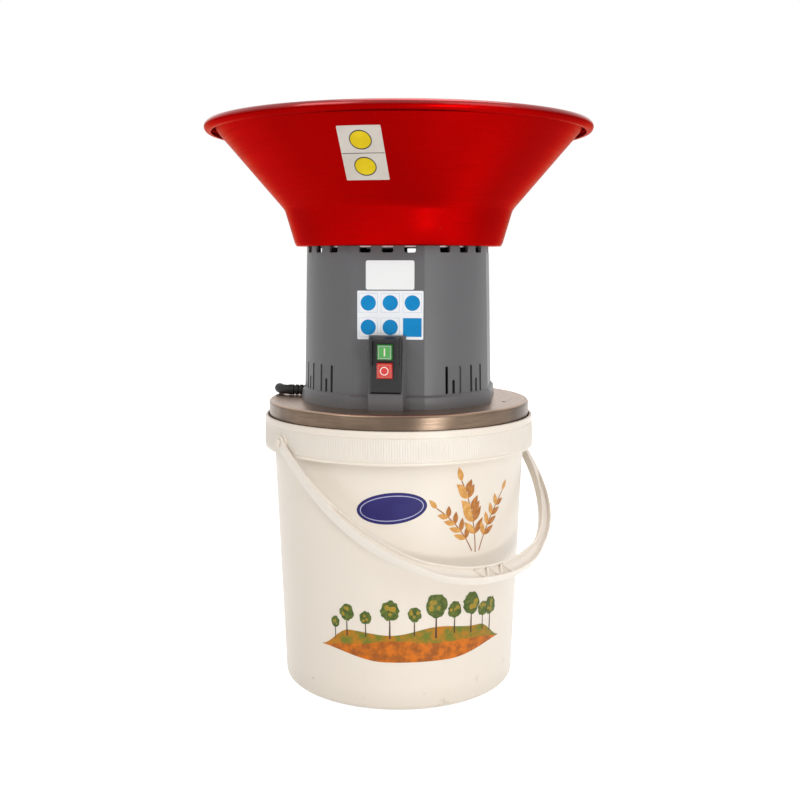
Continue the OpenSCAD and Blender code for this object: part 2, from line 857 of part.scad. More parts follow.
module brush_holders() {
    color([0.75, 0.6, 0.25]) for (side = [0, 180]) rotate(side) difference() {
        translate([commutator_r + holder_gap, -holder_w / 2, brush_z - holder_h / 2])
            cube([motor_r + holder_out - commutator_r - holder_gap, holder_w, holder_h]);
        translate([0, -brush_w / 2 - brush_slack, brush_z - brush_h / 2 - brush_slack])
            cube([motor_r - over, brush_w + 2 * brush_slack, brush_h + 2 * brush_slack]);
    }
}

module carbon_brushes() {
    color([0.15, 0.15, 0.16]) for (side = [0, 180]) rotate(side)
        translate([commutator_r + slack, -brush_w / 2, brush_z - brush_h / 2])
            cube([brush_length, brush_w, brush_h]);
}

bolt_head_r = 2.8;
bolt_head_h = 2.2;

module motor_bolts() {
    color([0.7, 0.7, 0.7]) for (a = [45 : 90 : 315]) rotate(a) translate([pillar_place, 0, 0]) {
        translate([0, 0, stack_z - bolt_bite])
            cylinder(h = bridge_z + bridge_t - stack_z + bolt_bite + over, r = bolt_r);
        translate([0, 0, bridge_z + bridge_t]) cylinder(h = bolt_head_h, r = bolt_head_r);
    }
}

suppressor_place = [-68, 20];
suppressor_r = 11;
suppressor_h = 38;
tag_gap = 6;
tag_h = 6;
tag_r = 0.8;

module suppressor() {
    color([0.85, 0.75, 0.2]) translate([suppressor_place[0], suppressor_place[1], lid_top]) {
        cylinder(h = suppressor_h, r = suppressor_r);
        for (side = [-1, 1]) translate([side * tag_gap / 2, 0, suppressor_h - over])
            cylinder(h = tag_h, r = tag_r);
    }
}

// ---------------------------------------------------------------- rotor

nut_h = 9;
blade_drop = 30;
shaft_tail = 4;
journal_end = 0.5;
blade_t = 4;
blade_z = lid_under - blade_drop;
shaft_foot = blade_z - nut_h - shaft_tail;
shoulder_z = bearing_z + bearing_h + over;

module motor_shaft() {
    color([0.6, 0.6, 0.62]) {
        translate([0, 0, shaft_foot]) cylinder(h = shoulder_z - shaft_foot, r = bearing_bore - fit);
        translate([0, 0, shoulder_z]) cylinder(h = bridge_z - shoulder_z, r = upper_shaft_r);
        translate([0, 0, bridge_z - over])
            cylinder(h = over + top_bearing_z + top_bearing_h - journal_end - bridge_z,
                     r = top_bearing_bore - fit);
    }
}

module on_shaft(bore, z, h) {
    difference() {
        children();
        translate([0, 0, z - over]) cylinder(h = h + 2 * over, r = bore + fit);
    }
}

core_slots = 12;
core_slot_depth = 7;
core_slot_w = 3;
winding_inset = 5;

module armature_core() {
    color([0.4, 0.4, 0.42]) on_shaft(upper_shaft_r, stack_z, stack_h) difference() {
        translate([0, 0, stack_z]) cylinder(h = stack_h, r = armature_r);
        for (i = [0 : core_slots - 1]) rotate(360 / core_slots * i)
            translate([armature_r - core_slot_depth, -core_slot_w / 2, stack_z - over])
                cube([2 * core_slot_depth, core_slot_w, stack_h + 2 * over]);
    }
}

module armature_windings() {
    color([0.72, 0.38, 0.16]) for (z = [coil_z, stack_top]) on_shaft(upper_shaft_r, z, coil_head)
        translate([0, 0, z]) cylinder(h = coil_head, r = armature_r - winding_inset);
}

commutator_h = 18;
bars = 24;
bar_gap = 0.6;

module commutator() {
    foot = brush_z - commutator_h / 2;
    color([0.75, 0.45, 0.2]) on_shaft(upper_shaft_r, foot, commutator_h) difference() {
        translate([0, 0, foot]) cylinder(h = commutator_h, r = commutator_r);
        for (i = [0 : bars - 1]) rotate(360 / bars * i)
            translate([commutator_r - over, -bar_gap / 2, foot - over])
                cube([2 * over, bar_gap, commutator_h + 2 * over]);
    }
}

fan_hub_r = 11;
fan_disc_t = 2;
fan_blade_t = 1.6;

module cooling_fan() {
    color([0.15, 0.15, 0.15]) on_shaft(upper_shaft_r, fan_z, fan_h) union() {
        translate([0, 0, fan_z]) cylinder(h = fan_h, r = fan_hub_r);
        translate([0, 0, fan_z]) cylinder(h = fan_disc_t, r = fan_r);
        for (i = [0 : fan_blades - 1]) rotate(360 / fan_blades * i)
            translate([fan_hub_r - over, -fan_blade_t / 2, fan_z + over])
                cube([fan_r - fan_hub_r, fan_blade_t, fan_h - over]);
    }
}

spacer_r = 13;
spacer_gap = 2;
nut_r = 13.5;
blade_root = 20;
blade_rake = 5;

module blade_spacer() {
    color([0.6, 0.6, 0.62]) translate([0, 0, blade_z + blade_t])
        tube(spacer_r, bearing_bore + fit, blade_drop - blade_t - spacer_gap);
}

module hammer_blade() {
    tip = screen_r - blade_gap;
    half = blade_w / 2;
    color([0.66, 0.66, 0.68]) on_shaft(bearing_bore, blade_z, blade_t) translate([0, 0, blade_z])
        linear_extrude(blade_t) intersection() {
            circle(r = tip);
            polygon([[-tip, -half + blade_rake], [-blade_root, -half], [tip, -half],
                     [tip, half - blade_rake], [blade_root, half], [-tip, half]]);
        }
}

module blade_nut() {
    color([0.7, 0.7, 0.7]) on_shaft(bearing_bore, blade_z - nut_h, nut_h)
        translate([0, 0, blade_z - nut_h]) cylinder(h = nut_h, r = nut_r, $fn = 6);
}

// ---------------------------------------------------------------- screen

screen_t = 1.5;
screen_rows = 4;
screen_z = lid_under - screen_h;
plate_t = 2;
plate_z = screen_z - plate_t;
plate_r = stud_ring_r + 7;
screen_margin = 6;
stud_tail = 16;
wing_h = 9;
wing_t = 2.4;
wing_r = 7.5;
wing_place = 11;
wing_hub_r = 6;

module screen() {
    row_pitch = (screen_h - 2 * screen_margin) / (screen_rows - 1);
    color([0.7, 0.7, 0.7]) difference() {
        translate([0, 0, screen_z]) tube(screen_r + screen_t, screen_r, screen_h);
        for (row = [0 : screen_rows - 1]) for (i = [0 : screen_holes - 1])
            rotate(360 / screen_holes * (i + (row % 2) / 2))
                translate([screen_r - over, 0, screen_z + screen_margin + row_pitch * row])
                    rotate([0, 90, 0]) cylinder(h = screen_t + 2 * over, r = screen_hole_r, $fn = 24);
    }
}

module at_studs() {
    for (a = stud_angles) rotate(a) translate([stud_ring_r, 0, 0]) children();
}

module screen_plate() {
    color([0.7, 0.7, 0.7]) difference() {
        translate([0, 0, plate_z]) cylinder(h = plate_t, r = plate_r);
        at_studs() translate([0, 0, plate_z - over]) cylinder(h = plate_t + 2 * over, r = stud_r + slack);
    }
}

module screen_studs() {
    color([0.75, 0.75, 0.75]) at_studs() translate([0, 0, plate_z - stud_tail])
        cylinder(h = lid_under - plate_z + stud_tail, r = stud_r);
}

module wing_nuts() {
    color([0.75, 0.75, 0.75]) at_studs() translate([0, 0, plate_z - wing_h]) difference() {
        union() {
            cylinder(h = wing_h, r1 = wing_hub_r, r2 = wing_hub_r + over);
            for (side = [-1, 1]) translate([side * wing_place, 0, 0]) rotate([90, 0, 0])
                linear_extrude(wing_t, center = true) intersection() {
                    circle(r = wing_r, $fn = 32);
                    square([2 * wing_r, 2 * wing_hub_r], center = true);
                }
        }
        translate([0, 0, -wing_h]) cylinder(h = 3 * wing_h, r = stud_r + fit);
    }
}

module housing_screws() {
    color([0.75, 0.75, 0.75]) at_posts() translate([0, 0, lid_under]) rotate([180, 0, 0]) pan_screw();
}

// ---------------------------------------------------------------- cord

boot_bend_r = 18;
boot_bend = 80;
boot_start = -125;     // where the boot's straight stretch ends and its bend begins
boot_core_r = 4.7;
boot_end_r = 5.4;
boot_inside = 7;
boot_collar = 2;
boot_rings = 4;
ring_pitch = 5.2;
ring_w = 3.2;
cuff_w = 6;            // smooth cuff between the rings and the bend
cuff_bite = 1;

module boot_disc(at, length, r) {
    translate([at, 0, 0]) rotate([0, 90, 0]) cylinder(h = length, r = r);
}

module cord_boot() {
    straight = -boot_start - house_side;
    color([0.07, 0.07, 0.07]) translate([boot_start, boot_y, boot_z]) {
        boot_disc(cuff_bite, straight + boot_inside - 2 * cuff_bite, boot_core_r);
        boot_disc(straight - boot_collar, boot_collar + boot_inside, boot_r);
        for (i = [0 : boot_rings - 1])
            boot_disc(cuff_w / 2 + (ring_pitch - ring_w) + ring_pitch * i, ring_w, boot_r);
        boot_disc(-cuff_w / 2, cuff_w, boot_r);
        // an arc of round section that turns from -X towards +Y
        translate([0, boot_bend_r, 0]) rotate(-90 - boot_bend)
            rotate_extrude(angle = boot_bend - asin(cuff_bite / boot_bend_r))
                translate([boot_bend_r, 0]) circle(r = boot_end_r, $fn = 40);
    }
}

cord_r = cord_d / 2;
cord_sides = 10;

// Where the cord leaves its boot, then over the lid's edge, down and along the ground to the coil
boot_end = [boot_start - boot_bend_r * sin(boot_bend), boot_y + boot_bend_r * (1 - cos(boot_bend)), boot_z];
cord_points = [
    boot_end, [-144.6, 29, 324.2], [-145.9, 38, 323.8], [-147.2, 47, 322], [-148.4, 55, 318],
    [-149.6, 62, 311.5], [-150.6, 68, 302.5], [-151.4, 73, 291], [-151.8, 77, 276], [-151.8, 79.4, 258],
    [-151.4, 80.4, 238], [-150.8, 80.4, 218], [-150, 80, 198], [-149, 80, 175],
    [-148, 82, 150], [-147, 84, 125], [-146, 86, 100], [-144, 89, 76], [-141, 94, 53], [-136, 101, 33],
    [-128, 111, 17], [-118, 122, 7], [-106, 133, 4], [-94, 144, 4], [-83, 157, 4], [-75, 171, 4],
    [-70, 186, 4]
];

// One ring of a round tube about the path p at point i
function ring(p, i, r, sides, up) =
    let (t = unit(p[min(i + 1, len(p) - 1)] - p[max(i - 1, 0)]), u = unit(cross(t, up)), v = cross(t, u))
    [for (k = [0 : sides - 1]) p[i] + r * (cos(360 * k / sides) * u + sin(360 * k / sides) * v)];

// A round tube along the path p; no stretch of the path runs along the direction up
module swept_tube(p, r, sides, up) {
    n = len(p);
    points = [for (i = [0 : n - 1]) each ring(p, i, r, sides, up)];
    walls = [for (i = [0 : n - 2]) for (k = [0 : sides - 1])
        [i * sides + k, (i + 1) * sides + k,
         (i + 1) * sides + (k + 1) % sides, i * sides + (k + 1) % sides]];
    caps = [[for (k = [0 : sides - 1]) k], [for (k = [0 : sides - 1]) n * sides - 1 - k]];
    polyhedron(points = points, faces = concat(walls, caps), convexity = 4);
}

coil_centre = [-23, 186, 0];
coil_r = 41;
coil_pitch = cord_d - 0.2;

module power_cord() {
    color([0.05, 0.05, 0.05]) swept_tube(cord_points, cord_r, cord_sides, [1, 0, 0]);
}

// Four turns, two beside each other and two on top
module cord_coil() {
    color([0.05, 0.05, 0.05]) translate(coil_centre) rotate_extrude()
        for (lane = [-0.5, 0.5]) for (row = [0, 1])
            translate([coil_r + coil_pitch * lane, cord_r + slack + coil_pitch * row])
                circle(r = cord_r, $fn = 24);
}

plug_x = 30;
plug_y = 222;
plug_r = 18.5;
plug_h = 38;
plug_pin_r = 2.4;
plug_pin_gap = 19;
plug_pin_length = 19;
plug_z = plug_r + 0.5;
pin_root = 9;
pin_tip = 1;
// Half of the plug's section, from its cord's end to its pins' end
plug_profile = [
    [0, 0], [5, 0], [6, 10], [12, 13], [15, 18], [17, 28], [plug_r, 29], [plug_r, plug_h], [0, plug_h]
];
clip_groove = [3, 8, 14];
clip_drop = 6;
lead_points = [
    [-23, 231, 11], [-12, 231, 12], [0, 229, 14], [11, 226, 17], [21, 223, 19], [plug_x, plug_y, plug_z]
];

module plug_lead() {
    color([0.05, 0.05, 0.05]) swept_tube(lead_points, cord_r, cord_sides, [0, 0, 1]);
}

module at_plug() {
    translate([plug_x, plug_y, plug_z]) rotate([0, 90, 0]) children();
}

module power_plug() {
    color([0.06, 0.06, 0.06]) at_plug() difference() {
        rotate_extrude() polygon(plug_profile);
        for (side = [-1, 1]) {
            translate([0, side * plug_pin_gap / 2, plug_h - pin_root])
                cylinder(h = pin_root + over, r = plug_pin_r + fit);
            // groove of an earth clip
            translate([side * plug_r, 0, plug_h - clip_drop]) cube(clip_groove, center = true);
        }
    }
}

module plug_pins() {
    color([0.8, 0.8, 0.8]) at_plug() for (side = [-1, 1])
        translate([0, side * plug_pin_gap / 2, plug_h - pin_root]) {
            cylinder(h = pin_root + plug_pin_length - pin_tip, r = plug_pin_r);
            translate([0, 0, pin_root + plug_pin_length - pin_tip])
                cylinder(h = pin_tip, r1 = plug_pin_r, r2 = plug_pin_r - pin_tip);
        }
}

pail();
bail_handle();
lid_plate();
lid_gasket();
motor_housing();
switch_frame();
start_button();
stop_button();
cord_boot();
power_cord();
cord_coil();
plug_lead();
power_plug();
plug_pins();
hopper();
hopper_floor();
hopper_screws();
support_ring();
feed_chute();
feed_shutter();
shutter_knob();
lower_end_bell();
lower_bearing();
shaft_seal();
stator_core();
field_coils();
upper_end_bell();
upper_bearing();
brush_holders();
carbon_brushes();
motor_bolts();
suppressor();
motor_shaft();
armature_core();
armature_windings();
commutator();
cooling_fan();
blade_spacer();
hammer_blade();
blade_nut();
screen();
screen_plate();
screen_studs();
wing_nuts();
housing_screws();
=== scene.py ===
"""Visual model of an electric grain mill on its pail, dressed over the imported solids.

Metres, +Z up, origin at the centre of the pail's foot; the switch faces -Y.
"""

import functools
import logging
import math
import random
from collections.abc import Callable, Iterable, Sequence
from dataclasses import dataclass
from enum import Enum

import bmesh
import bpy
from mathutils import Matrix, Vector


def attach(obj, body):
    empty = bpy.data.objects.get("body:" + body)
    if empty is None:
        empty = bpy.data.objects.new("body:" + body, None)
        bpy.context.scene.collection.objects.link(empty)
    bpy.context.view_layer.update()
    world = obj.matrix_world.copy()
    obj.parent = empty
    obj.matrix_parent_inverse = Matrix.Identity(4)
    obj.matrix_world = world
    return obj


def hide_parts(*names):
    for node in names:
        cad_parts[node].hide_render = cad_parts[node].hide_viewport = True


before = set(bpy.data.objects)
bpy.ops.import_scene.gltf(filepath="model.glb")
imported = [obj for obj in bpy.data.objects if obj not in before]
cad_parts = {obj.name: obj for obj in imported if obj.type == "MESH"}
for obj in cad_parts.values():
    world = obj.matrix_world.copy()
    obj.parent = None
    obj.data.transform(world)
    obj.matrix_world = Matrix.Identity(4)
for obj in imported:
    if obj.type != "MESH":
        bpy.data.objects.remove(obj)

log = logging.getLogger("grain_mill")

MM = 0.001
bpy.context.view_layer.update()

WALL_FOOT_R = 130.0
WALL_SLOPE = 10.5 / 267
EAR_TURN = 42.0
EAR_Z = 281.0
FILM_CREASE = 20.0

Colour = tuple[float, float, float]
Pair = tuple[float, float]
Placement = Callable[[float, float, float], Vector]


def srgb(red: float, green: float, blue: float) -> Colour:
    """Gives the linear colour of an 8-bit screen colour.

    Args:
        red: Red from 0 to 255.
        green: Green from 0 to 255.
        blue: Blue from 0 to 255.

    Returns:
        The three linear components.
    """

    def linear(part: float) -> float:
        """Undoes the screen's curve for one component."""
        share = part / 255
        return share / 12.92 if share <= 0.04045 else ((share + 0.055) / 1.055) ** 2.4

    return linear(red), linear(green), linear(blue)


def shaded(colour: Colour, factor: float) -> Colour:
    """Gives a colour made darker or lighter by a factor."""
    return tuple(min(1.0, part * factor) for part in colour)


# ---------------------------------------------------------------- shader graph


class Signal:
    """A number on its way through a shader; arithmetic on it adds Math nodes."""

    def __init__(self, shader: "Shader", socket: bpy.types.NodeSocket) -> None:
        """Wraps one output socket of a shader's node."""
        self.shader = shader
        self.socket = socket

    def _math(self, operation: str, *values: "Signal | float") -> "Signal":
        """Adds one Math node.

        Args:
            operation: The Math node's operation.
            values: Its operands, in order.

        Returns:
            The result.
        """
        sockets = dict(enumerate(values))
        return self.shader.signal(self.shader.node("ShaderNodeMath", {"operation": operation}, sockets))

    def __add__(self, other: "Signal | float") -> "Signal":
        """Adds."""
        return self._math("ADD", self, other)

    def __radd__(self, other: float) -> "Signal":
        """Adds, reflected."""
        return self._math("ADD", other, self)

    def __sub__(self, other: "Signal | float") -> "Signal":
        """Subtracts."""
        return self._math("SUBTRACT", self, other)

    def __rsub__(self, other: float) -> "Signal":
        """Subtracts, reflected."""
        return self._math("SUBTRACT", other, self)

    def __mul__(self, other: "Signal | float") -> "Signal":
        """Multiplies."""
        return self._math("MULTIPLY", self, other)

    def __rmul__(self, other: float) -> "Signal":
        """Multiplies, reflected."""
        return self._math("MULTIPLY", other, self)

    def __truediv__(self, other: "Signal | float") -> "Signal":
        """Divides."""
        return self._math("DIVIDE", self, other)

    def __pow__(self, other: "Signal | float") -> "Signal":
        """Raises to a power."""
        return self._math("POWER", self, other)

    def sine(self) -> "Signal":
        """Gives the sine."""
        return self._math("SINE", self)

    def above(self, limit: "Signal | float") -> "Signal":
        """Gives 1 where the number is above a limit, and 0 elsewhere."""
        return self._math("GREATER_THAN", self, limit)

    def larger(self, other: "Signal | float") -> "Signal":
        """Gives the larger of two numbers."""
        return self._math("MAXIMUM", self, other)

    def between(self, low: float, high: float) -> "Signal":
        """Rises smoothly from 0 at low to 1 at high."""
        node = self.shader.node(
            "ShaderNodeMapRange",
            {"interpolation_type": "SMOOTHSTEP"},
            {"Value": self, "From Min": low, "From Max": high},
        )
        return self.shader.signal(node)


class Shader:
    """The node tree of a material or a world while it is being written."""

    def __init__(self, name: str, world: bool = False) -> None:
        """Starts an empty material or world of that name."""
        self.owner = (bpy.data.worlds if world else bpy.data.materials).new(name)
        self.owner.use_nodes = True
        self.tree = self.owner.node_tree
        self.tree.nodes.clear()

    def node(
        self,
        kind: str,
        settings: dict[str, object] | None = None,
        sockets: dict[str | int, object] | None = None,
    ) -> bpy.types.Node:
        """Adds any node.

        Args:
            kind: The node's type.
            settings: Its properties, set first.
            sockets: Values, signals or output sockets for its inputs.

        Returns:
            The node.
        """
        made = self.tree.nodes.new(kind)
        for key, value in (settings or {}).items():
            setattr(made, key, value)
        for key, value in (sockets or {}).items():
            target = made.inputs[key]
            source = value.socket if isinstance(value, Signal) else value
            if isinstance(source, bpy.types.NodeSocket):
                self.tree.links.new(source, target)
            elif isinstance(source, tuple) and len(source) == 3 and target.type == "RGBA":
                target.default_value = (*source, 1.0)
            else:
                target.default_value = source
        return made

    def signal(self, node: bpy.types.Node, output: str | int = 0) -> Signal:
        """Wraps one output of a node."""
        return Signal(self, node.outputs[output])

    @functools.cached_property
    def place(self) -> bpy.types.NodeSocket:
        """The point in the mill's own frame, in metres."""
        return self.node("ShaderNodeTexCoord").outputs["Object"]

    @functools.cached_property
    def axes(self) -> tuple[Signal, Signal, Signal]:
        """The point's x, y and z."""
        split = self.node("ShaderNodeSeparateXYZ", sockets={0: self.place})
        return tuple(self.signal(split, i) for i in range(3))

    @functools.cached_property
    def facing(self) -> tuple[Signal, Signal, Signal]:
        """The surface normal's x, y and z."""
        geometry = self.node("ShaderNodeNewGeometry")
        split = self.node("ShaderNodeSeparateXYZ", sockets={0: geometry.outputs["Normal"]})
        return tuple(self.signal(split, i) for i in range(3))

    @functools.cached_property
    def radius(self) -> Signal:
        """The distance from the mill's axis."""
        x, y, _ = self.axes
        return (x * x + y * y) ** 0.5

    @functools.cached_property
    def turn(self) -> Signal:
        """The angle round the mill's axis, 0 in front, with its seam behind."""
        x, y, _ = self.axes
        return x._math("ARCTAN2", x, 0 - y)

    def vector(self, x: Signal | float, y: Signal | float, z: Signal | float) -> bpy.types.NodeSocket:
        """Joins three numbers into a vector."""
        return self.node("ShaderNodeCombineXYZ", sockets={0: x, 1: y, 2: z}).outputs[0]

    def noise(
        self, scale: float, detail: float = 2.0, rough: float = 0.5, at: bpy.types.NodeSocket | None = None
    ) -> Signal:
        """Adds a noise texture.

        Args:
            scale: Its features per metre.
            detail: Its octaves.
            rough: How strong the finer octaves are.
            at: The vector it is read at, or the point itself.

        Returns:
            A number from 0 to 1, mostly near a half.
        """
        sockets = {"Vector": at or self.place, "Scale": scale, "Detail": detail, "Roughness": rough}
        return self.signal(self.node("ShaderNodeTexNoise", sockets=sockets), "Fac")

    def mix(self, factor: Signal | float, first: object, second: object) -> bpy.types.NodeSocket:
        """Mixes two colours, from the first at 0 to the second at 1."""
        sockets = {0: factor, 6: first, 7: second}
        return self.node("ShaderNodeMix", {"data_type": "RGBA"}, sockets).outputs[2]

    def bump(self, height: Signal, strength: float, depth: float) -> bpy.types.NodeSocket:
        """Gives the normal of a surface raised by a height.

        Args:
            height: The height's pattern.
            strength: How much of it shows, from 0 to 1.
            depth: The height of a full step, in metres.

        Returns:
            The bent normal.
        """
        sockets = {"Strength": strength, "Distance": depth, "Height": height}
        return self.node("ShaderNodeBump", sockets=sockets).outputs[0]

    def finish(self, **sockets: object) -> bpy.types.Material:
        """Ends the material in a Principled shader.

        Args:
            sockets: Its sockets, with underscores for spaces.

        Returns:
            The material.
        """
        values = {key.replace("_", " "): value for key, value in sockets.items()}
        shader = self.node("ShaderNodeBsdfPrincipled", sockets=values)
        self.node("ShaderNodeOutputMaterial", sockets={"Surface": shader.outputs[0]})
        return self.owner


# ---------------------------------------------------------------- finishes


@dataclass(frozen=True)
class Finish:
    """A surface finish with a name of its own."""

    name: str

    def material(self) -> bpy.types.Material:
        """Writes the finish's material."""
        raise NotImplementedError


@dataclass(frozen=True)
class Moulded(Finish):
    """Moulded plastic or rubber: slow colour drift, an eroded grain and uneven gloss."""

    colour: Colour
    roughness: float = 0.42
    drift: float = 0.08
    grain: float = 0.25
    grain_scale: float = 1800.0
    specular: float = 0.45

    def material(self) -> bpy.types.Material:
        """Writes the finish's material."""
        shader = Shader(self.name)
        cloud = shader.noise(22, 3)
        fine = shader.noise(self.grain_scale, 2)
        dust = shader.noise(160, 5, 0.7).between(0.55, 0.8)
        tone = shader.mix(cloud, shaded(self.colour, 1 - self.drift), shaded(self.colour, 1 + self.drift))
        tone = shader.mix(dust * 0.12, tone, shaded(self.colour, 1.6))
        return shader.finish(
            Base_Color=tone,
            Roughness=self.roughness + (fine - 0.5) * 0.12 + dust * 0.1,
            Specular_IOR_Level=self.specular,
            Normal=shader.bump(fine, self.grain, 0.00012),
        )


@dataclass(frozen=True)
class PailWall(Finish):
    """Slightly waxy white moulding with a faint flow pattern, scuffs, grime at its foot and a wall that turns
    darker towards the bottom.
    """

    colour: Colour

    def material(self) -> bpy.types.Material:
        """Writes the finish's material."""
        shader = Shader(self.name)
        _, _, z = shader.axes
        cloud = shader.noise(9, 3)
        flow = shader.noise(40, 2, at=shader.vector(shader.turn * 0.8, 0.0, z * 0.15))
        scuff = shader.noise(240, 6, 0.75, at=shader.vector(shader.turn * 0.14, 0.0, z * 0.5))
        scuff = scuff.between(0.62, 0.78)
        # The bottom 30 mm is mixed a quarter of the way to a brown grey: darker towards the bottom.
        foot = 1 - z.between(0.0, 0.03)
        grime = shader.noise(55, 6, 0.7).between(0.6, 0.7) * (1 - z.between(0.015, 0.05))
        tone = shader.mix(cloud, shaded(self.colour, 0.97), shaded(self.colour, 1.02))
        tone = shader.mix(scuff * 0.22, tone, shaded(self.colour, 0.8))
        tone = shader.mix(foot * 0.25, tone, (0.55, 0.5, 0.42))
        tone = shader.mix(grime * 0.4, tone, (0.36, 0.31, 0.25))
        return shader.finish(
            Base_Color=tone,
            Roughness=0.36 + scuff * 0.2 + (flow - 0.5) * 0.08,
            Subsurface_Weight=0.12,
            Subsurface_Radius=(0.02, 0.014, 0.01),
            Subsurface_Scale=0.25,
            Specular_IOR_Level=0.45,
            Normal=shader.bump(flow * 0.6 + scuff * 0.2, 0.25, 0.0004),
        )


class Brushing(Enum):
    """The way that a metal's brushing runs."""

    ROUND = "round the mill's axis"
    UP = "up and down"
    FINE = "no direction"


@dataclass(frozen=True)
class BareMetal(Finish):
    """Bare metal with brushing, faint stains and small dents in its gloss."""

    colour: Colour
    brushing: Brushing = Brushing.FINE
    roughness: float = 0.3
    stain: float = 0.15

    def brush(self, shader: Shader) -> Signal:
        """Gives the brushing's pattern."""
        x, y, z = shader.axes
        if self.brushing is Brushing.ROUND:
            return shader.noise(1.0, 3, at=shader.vector(shader.radius * 1400, shader.turn * 6, z * 1400))
        if self.brushing is Brushing.UP:
            return shader.noise(1.0, 3, at=shader.vector(x * 1800, y * 1800, z * 30))
        return shader.noise(2500, 3)

    def material(self) -> bpy.types.Material:
        """Writes the finish's material."""
        shader = Shader(self.name)
        lines = self.brush(shader)
        patch = shader.noise(14, 4, 0.6)
        spots = shader.noise(300, 5, 0.7).between(0.58, 0.75)
        tone = shader.mix(lines, shaded(self.colour, 0.86), shaded(self.colour, 1.08))
        tone = shader.mix(patch.between(0.5, 0.8) * self.stain, tone, shaded(self.colour, 0.6))
        return shader.finish(
            Base_Color=tone,
            Metallic=1.0,
            Roughness=self.roughness + (lines - 0.5) * 0.2 + patch * 0.08 + spots * 0.06,
            Normal=shader.bump(lines, 0.12, 0.00006),
        )


@dataclass(frozen=True)
class CoatedSheet(Finish):
    """Spun sheet steel: a glossy metallic coat with painted reflection bands outside and over the lip, bare
    metal in the bowl.
    """

    coat: Colour
    bare: Colour
    lip_r: float

    def material(self) -> bpy.types.Material:
        """Writes the finish's material."""
        shader = Shader(self.name)
        x, y, z = shader.axes
        out_x, out_y, upward = shader.facing
        bare = (0 - (x * out_x + y * out_y)).above(0.0) * (1 - shader.radius.above(self.lip_r))
        roll = shader.radius.above(self.lip_r) * upward.between(-0.1, 0.5)
        spin = shader.noise(1.0, 4, 0.6, shader.vector(shader.radius * 700, shader.turn * 2.5, z * 700))
        band = shader.noise(1.0, 2, at=shader.vector(shader.radius * 60, shader.turn * 1.2, z * 60))
        round_x, round_y = x / shader.radius, y / shader.radius
        # Painted reflection: broad dark and pale patches in the coat's colour stand in for the surroundings
        # that the red coat reflects.
        painted_reflection_bands = shader.noise(1.5, 1, at=shader.vector(round_x, round_y, z * 3)).between(0.3, 0.7)
        dust = shader.noise(260, 5, 0.7).between(0.62, 0.8)
        coat = shader.mix(painted_reflection_bands, shaded(self.coat, 0.66), shaded(self.coat, 0.98))
        coat = shader.mix(spin.between(0.35, 0.75) * 0.35, coat, shaded(self.coat, 0.6))
        coat = shader.mix(dust * 0.08, coat, (0.6, 0.14, 0.08))
        steel = shader.mix(spin, shaded(self.bare, 0.8), shaded(self.bare, 1.1))
        return shader.finish(
            Base_Color=shader.mix(bare, coat, steel),
            Metallic=0.97 + bare * 0.03,
            Roughness=0.34 - bare * 0.04 + (spin - 0.5) * 0.16 + (band - 0.5) * 0.12 + dust * 0.1,
            Specular_Tint=(0.95, 0.34, 0.24, 1.0),
            Coat_Weight=roll * 0.9,
            Coat_Roughness=0.07,
            Coat_IOR=1.6,
            Normal=shader.bump(band * 0.7 + spin * 0.3, 0.1, 0.00012),
        )


@dataclass(frozen=True)
class LidSteel(Finish):
    """Brushed steel sheet with a warm cast and painted light and shade: a pale lit colour where it faces up,
    a deep shaded colour and painted reflection bands on its skirt.
    """

    # The top and side colours are a lit and a shaded copy of one steel: painted light and shade.
    top: Colour
    side: Colour

    def material(self) -> bpy.types.Material:
        """Writes the finish's material."""
        shader = Shader(self.name)
        x, y, z = shader.axes
        _, _, upward = shader.facing
        # Painted light and shade: faces that look up take the pale top colour, and the skirt takes the darker
        # side colour.
        level = upward.between(0.25, 0.85)
        lines = shader.noise(1.0, 4, 0.6, shader.vector(shader.radius * 1100, shader.turn * 4, z * 1100))
        # Painted reflection: the skirt's colour swings between dark and bright bands round the lid.
        painted_reflection_bands = shader.noise(2.2, 2, at=shader.vector(x / shader.radius, y / shader.radius, z * 8))
        stain = shader.noise(16, 4, 0.65).between(0.52, 0.78)
        side = shader.mix(painted_reflection_bands.between(0.35, 0.65), shaded(self.side, 0.7), shaded(self.side, 1.25))
        tone = shader.mix(level, side, self.top)
        tone = shader.mix(lines.between(0.4, 0.72) * 0.5, tone, shaded(self.side, 0.55))
        tone = shader.mix(stain * 0.2, tone, shaded(self.top, 0.5))
        return shader.finish(
            Base_Color=tone,
            Metallic=1.0,
            Roughness=0.3 + (lines - 0.5) * 0.2 + stain * 0.08,
            Normal=shader.bump(lines, 0.14, 0.00008),
        )


@dataclass(frozen=True)
class Ink(Finish):
    """Screen-printed ink: an even tone with a faint dot grain and soft patches of a second tone."""

    colour: Colour
    second: Colour | None = None
    patch: float = 90.0
    roughness: float = 0.42
    specular: float = 0.2

    def material(self) -> bpy.types.Material:
        """Writes the finish's material."""
        shader = Shader(self.name)
        dots = shader.noise(2600, 2)
        cloud = shader.noise(self.patch, 4, 0.6).between(0.36, 0.66)
        tone = shader.mix(cloud, self.colour, self.second or shaded(self.colour, 1.15))
        tone = shader.mix(dots * 0.18, tone, shaded(self.colour, 0.75))
        return shader.finish(
            Base_Color=tone,
            Roughness=self.roughness + (dots - 0.5) * 0.1,
            Specular_IOR_Level=self.specular,
            Normal=shader.bump(dots, 0.1, 0.00005),
        )


